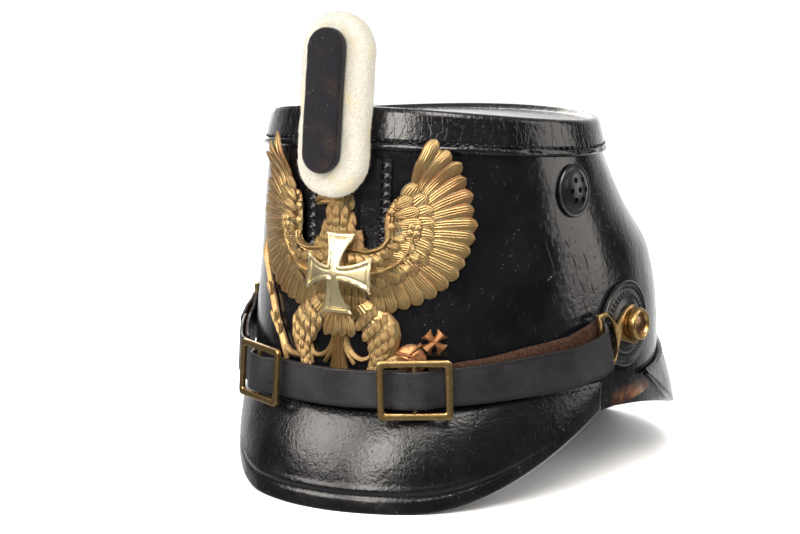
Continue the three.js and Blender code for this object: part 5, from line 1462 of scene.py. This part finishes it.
# Pocket: a leather sleeve sewn on the shell, its sewn edges puckered under the lacquer
pocket = {"half": 18.5, "bottom": 98, "top": 136.5, "flange": 1.2, "sleeve": 5.5, "sleeveStand": 3,
          "cavity": 0.9, "pucker": 1.25, "pitch": 3.5, "seam": 16.2}
halfArcs = np.concatenate([np.linspace(0, 4.4, 5), np.linspace(5, 7, 7), np.linspace(7.4, 13.4, 9),
                           np.linspace(14, pocket["half"], 13)])
pocketArcs = np.concatenate([-halfArcs[:0:-1], halfArcs])
pocketHeights = np.linspace(pocket["bottom"], pocket["top"], 76)
pocketRows = []
for level in pocketHeights:
    beat = 0.5 + 0.5 * math.cos(2 * math.pi * level / pocket["pitch"] + 0.8 * math.sin(level * 0.31))
    over = 1 - smooth(np.abs(pocketArcs), pocket["sleeve"], pocket["sleeve"] + 1.5)
    ridge = pocket["pucker"] * beat * np.exp(-((np.abs(pocketArcs) - pocket["seam"]) / 0.9) ** 2)
    sunk = 0.35 * np.exp(-((np.abs(pocketArcs) - pocket["seam"] + 1.9) / 0.6) ** 2)
    stand = gap + mix(pocket["flange"], pocket["sleeveStand"], over) + ridge - sunk
    arcs = pocketArcs + np.sign(pocketArcs) * 0.35 * beat * smooth(np.abs(pocketArcs), 15, pocket["half"])
    outside = onShell(arcs, level, stand)
    hollow = gap + pocket["sleeveStand"] - pocket["cavity"]
    backStand = np.where(np.abs(pocketArcs) < pocket["sleeve"] - 0.4, hollow, gap)
    inside = onShell(arcs[::-1], level, backStand[::-1])
    pocketRows.append(np.concatenate([outside, inside, outside[:1]]))
pocketPiece = skin("badgePocket", np.array(pocketRows))
closeUp(pocketPiece, fill=True)
finishPiece(pocketPiece, peakLacquer, "lacquered_leather", "badge_pocket", shade=60)


# Stitches: one waxed thread stitch, copied along each seam
thread = {"length": 2.3, "radius": 0.5, "pitch": 3.1, "peakReach": 108, "guardReach": 118, "bandHeight": 142,
          "flapHeight": 44, "rearHeight": 50, "bandSway": 14, "flapSway": 6, "puckerTurn": 35}


def makeStitches(name, rows, length, radius, finish):
    # Rows of arc, height, stand and slope in degrees
    bpy.ops.object.select_all(action="DESELECT")
    bpy.ops.mesh.primitive_uv_sphere_add(segments=8, ring_count=6, radius=1)
    blank = bpy.context.object
    shape = readPoints(blank) * np.array([length / 2, radius, radius])
    stitches = []
    for arc, level, stand, slope in rows:
        stitch = addObject("stitch", blank.data.copy())
        turn = math.radians(slope)
        spun = np.stack([shape[:, 0] * math.cos(turn) - shape[:, 1] * math.sin(turn),
                         shape[:, 0] * math.sin(turn) + shape[:, 1] * math.cos(turn), shape[:, 2] + stand], 1)
        writePoints(stitch, toScene(inFrame(frameOn(arc, level), spun)))
        stitches.append(stitch)
    bpy.data.objects.remove(blank)
    finishPiece(joinPieces(name, stitches), finish, "lacquered_leather")


def bandStitches():
    rows = []
    total = arcAt(math.pi, thread["bandHeight"])
    count = int(2 * total / crown["stitchPitch"])
    for number in range(count):
        arc = -total + (number + 0.5) * 2 * total / count
        angle = float(angleAt(arc, thread["bandHeight"]))
        level = float(mix(crownHeight(angle), bandTopHeight(angle), crown["stitchRise"]))
        rows.append((arc, level, outer - 0.1, thread["bandSway"] * math.sin(number * 1.7)))
    return rows


makeStitches("bandStitches", bandStitches(), thread["length"], thread["radius"], bandLacquer)
puckerHeights = np.arange(pocket["bottom"] + 2, pocket["top"] - 1, pocket["pitch"])
puckers = [(sign * (pocket["seam"] - 1.2), level, gap + pocket["flange"] + 0.1, thread["puckerTurn"] * sign)
           for sign in (1, -1) for level in puckerHeights]
makeStitches("pocketStitches", puckers, 2.6, 0.4, peakLacquer)


def sewFlap(name, form, seamHeights, middle, reach):
    rows = []
    for arc in np.arange(middle - reach, middle + reach, thread["pitch"]):
        angle = float(angleAt(arc, thread["flapHeight"]))
        level = float(mix(*seamHeights, math.sin(angle) ** 2)) - 1
        rows.append((arc, level, gap + form["skived"] + 0.3, thread["flapSway"] * math.sin(arc)))
    makeStitches(name, rows, thread["length"], thread["radius"], peakLacquer)


sewFlap("peakStitches", peak, (peak["seamFront"], peak["seamSide"]), 0, thread["peakReach"])
sewFlap("guardStitches", guard, (guard["seamRear"], guard["seamSide"]), arcAt(math.pi, thread["rearHeight"]),
        thread["guardReach"])
print("pocket and stitches done")


# Marks of use on the wearer's left side: hairline cracks, nicks and one stitch-like dent, as arc and height
marks = {"crackWidth": 0.6, "dentWidth": 1.3, "dentRise": 0.32, "sunk": 0.25, "tone": "#050405"}
cracks = (((107.4, 115.7), (110.6, 111), (113.5, 106.4), (116.4, 101), (118.5, 96.6)),
          ((92.7, 103.1), (94.8, 100.1)), ((96.3, 96.7), (98.7, 92.4)),
          ((102.9, 97.2), (104.6, 93.6), (105.7, 89.9)), ((107.1, 85.6), (109.1, 79.9)),
          ((100.9, 86.4), (103.6, 81.3)), ((101.8, 80), (104.2, 75), (107.1, 69.3)),
          ((110, 95.2), (110.4, 94.2)),
          ((96.8, 81), (97, 79.8)), ((97.3, 88), (97.1, 85.6)), ((90.7, 79.5), (92.6, 75), (93.9, 70.4)),
          ((95.9, 79.1), (98.6, 71.7)), ((84.2, 99), (86.4, 92.4), (88.4, 86)))
dents = (((82.3, 103.2), (85.4, 95), (88, 87.9)), ((83.8, 87.7), (87, 89.6), (90.5, 90.9)),
         ((88.4, 86.4), (89.9, 81.8)))


def layMark(points, width, rise):
    points = np.array(points, float)
    places = np.concatenate([[0], np.cumsum(np.hypot(*np.diff(points, axis=0).T))])
    share = np.linspace(0, 1, 26)
    arc = np.interp(share, places / places[-1], points[:, 0]) + 0.1 * np.sin(share * 31)
    height = np.interp(share, places / places[-1], points[:, 1])
    runArc, runHeight = np.gradient(arc), np.gradient(height)
    length = np.hypot(runArc, runHeight)
    taper = np.sin(np.clip(share, 0.01, 0.99) * math.pi) ** 0.4
    columns = []
    for across in (-1, -0.5, 0, 0.5, 1):
        offset = across * width / 2 * taper
        lift = 0.03 + rise * (1 - across ** 2) * taper
        columns.append(onShell(arc + runHeight / length * offset, height - runArc / length * offset, lift))
    columns.append(onShell(arc, height, np.full(len(arc), -marks["sunk"])))
    piece = skin("mark", np.stack(columns + columns[:1], 1))
    closeUp(piece, fill=True)
    return piece


crackFinish = Finish("crackedVarnish", marks["tone"], Roughness=0.75).material
crackMarks = [layMark(line, marks["crackWidth"], 0.04) for line in cracks]
finishPiece(joinPieces("shellCracks", crackMarks), crackFinish, "lacquered_leather")
dentMarks = [layMark(line, marks["dentWidth"], marks["dentRise"]) for line in dents]
finishPiece(joinPieces("shellDents", dentMarks), shellLacquer, "lacquered_leather")
print("marks done")


# Stage: a white paper sweep, pale daylight all round and five softboxes
stage = {"floor": "#fafafa", "ambient": 1.08, "backdrop": 1.05, "dim": 0.035, "behind": 1.5, "above": 0.45,
         "below": 0.5, "lampColour": (1, 0.95, 0.89)}
lensAxis = (0.47, -0.88, 0)
bpy.ops.object.select_all(action="DESELECT")
bpy.ops.mesh.primitive_plane_add(size=40)
floor = bpy.context.object
floor.name = "paleFloor"
paper = Finish("palePaper", stage["floor"], Roughness=0.9)
paper.feed({"Specular IOR Level": 0.1})
floor.data.materials.append(paper.material)
floor.visible_glossy = False

world = bpy.data.worlds.new("studio")
shakoScene.world = world
world.use_nodes = True
sky = NodeSet(world.node_tree)
white = (1, 1, 1, 1)


def glow(strength):
    return sky.add("Background", 0, {"Color": white, "Strength": strength})


seenBy = sky.add("LightPath", "Is Camera Ray", {})
seen = sky.add("MixShader", 0, {0: seenBy, 1: glow(stage["ambient"]), 2: glow(stage["backdrop"])})
# What the gloss mirrors: a dim room on the lens side, the white sweep behind, paler overhead
heading = sky.add("TexCoord", "Generated", {})
facing = sky.add("VectorMath", "Value", {0: heading, 1: lensAxis}, operation="DOT_PRODUCT")
rise = sky.add("SeparateXYZ", "Z", {0: heading})
mirrored = sky.spread(facing, -0.6, -0.95, stage["dim"], stage["behind"])
mirrored = sky.maths("ADD", mirrored, sky.spread(rise, 0.3, 0.8, 0.0, stage["above"]))
mirrored = sky.maths("ADD", mirrored, sky.spread(rise, -0.2, -0.5, 0.0, stage["below"]))
glossy = sky.add("MixShader", 0, {0: seenBy.node.outputs["Is Glossy Ray"], 1: seen, 2: glow(mirrored)})
sky.fill(world.node_tree.nodes["World Output"], {"Surface": glossy})


def softbox(name, azimuth, climb, distance, width, height, power):
    # Azimuth in degrees from the front, positive to the wearer's left
    side, rise = math.radians(azimuth), math.radians(climb)
    level = math.cos(rise)
    place = Vector((math.sin(side) * level, -math.cos(side) * level, math.sin(rise))) * distance
    lamp = bpy.data.lights.new(name, "AREA")
    lamp.shape = "RECTANGLE"
    lamp.size, lamp.size_y, lamp.energy = width, height, power
    lamp.color = stage["lampColour"]
    lampObject = addObject(name, lamp)
    lampObject.location = place + Vector((0, 0, 0.1))
    lampObject.rotation_euler = (-place).to_track_quat("-Z", "Y").to_euler()


softbox("keyLeft", -42, 30, 1.6, 1.0, 0.9, 24)
softbox("rightTall", 118, 18, 1.35, 0.76, 1.0, 6.5)
softbox("frontLow", 2, 25, 1.5, 0.62, 0.6, 14)
softbox("leftBack", -140, 18, 1.4, 0.4, 0.9, 6)
softbox("frontHigh", 40, 52, 1.3, 0.5, 0.9, 15)
print("lights set")
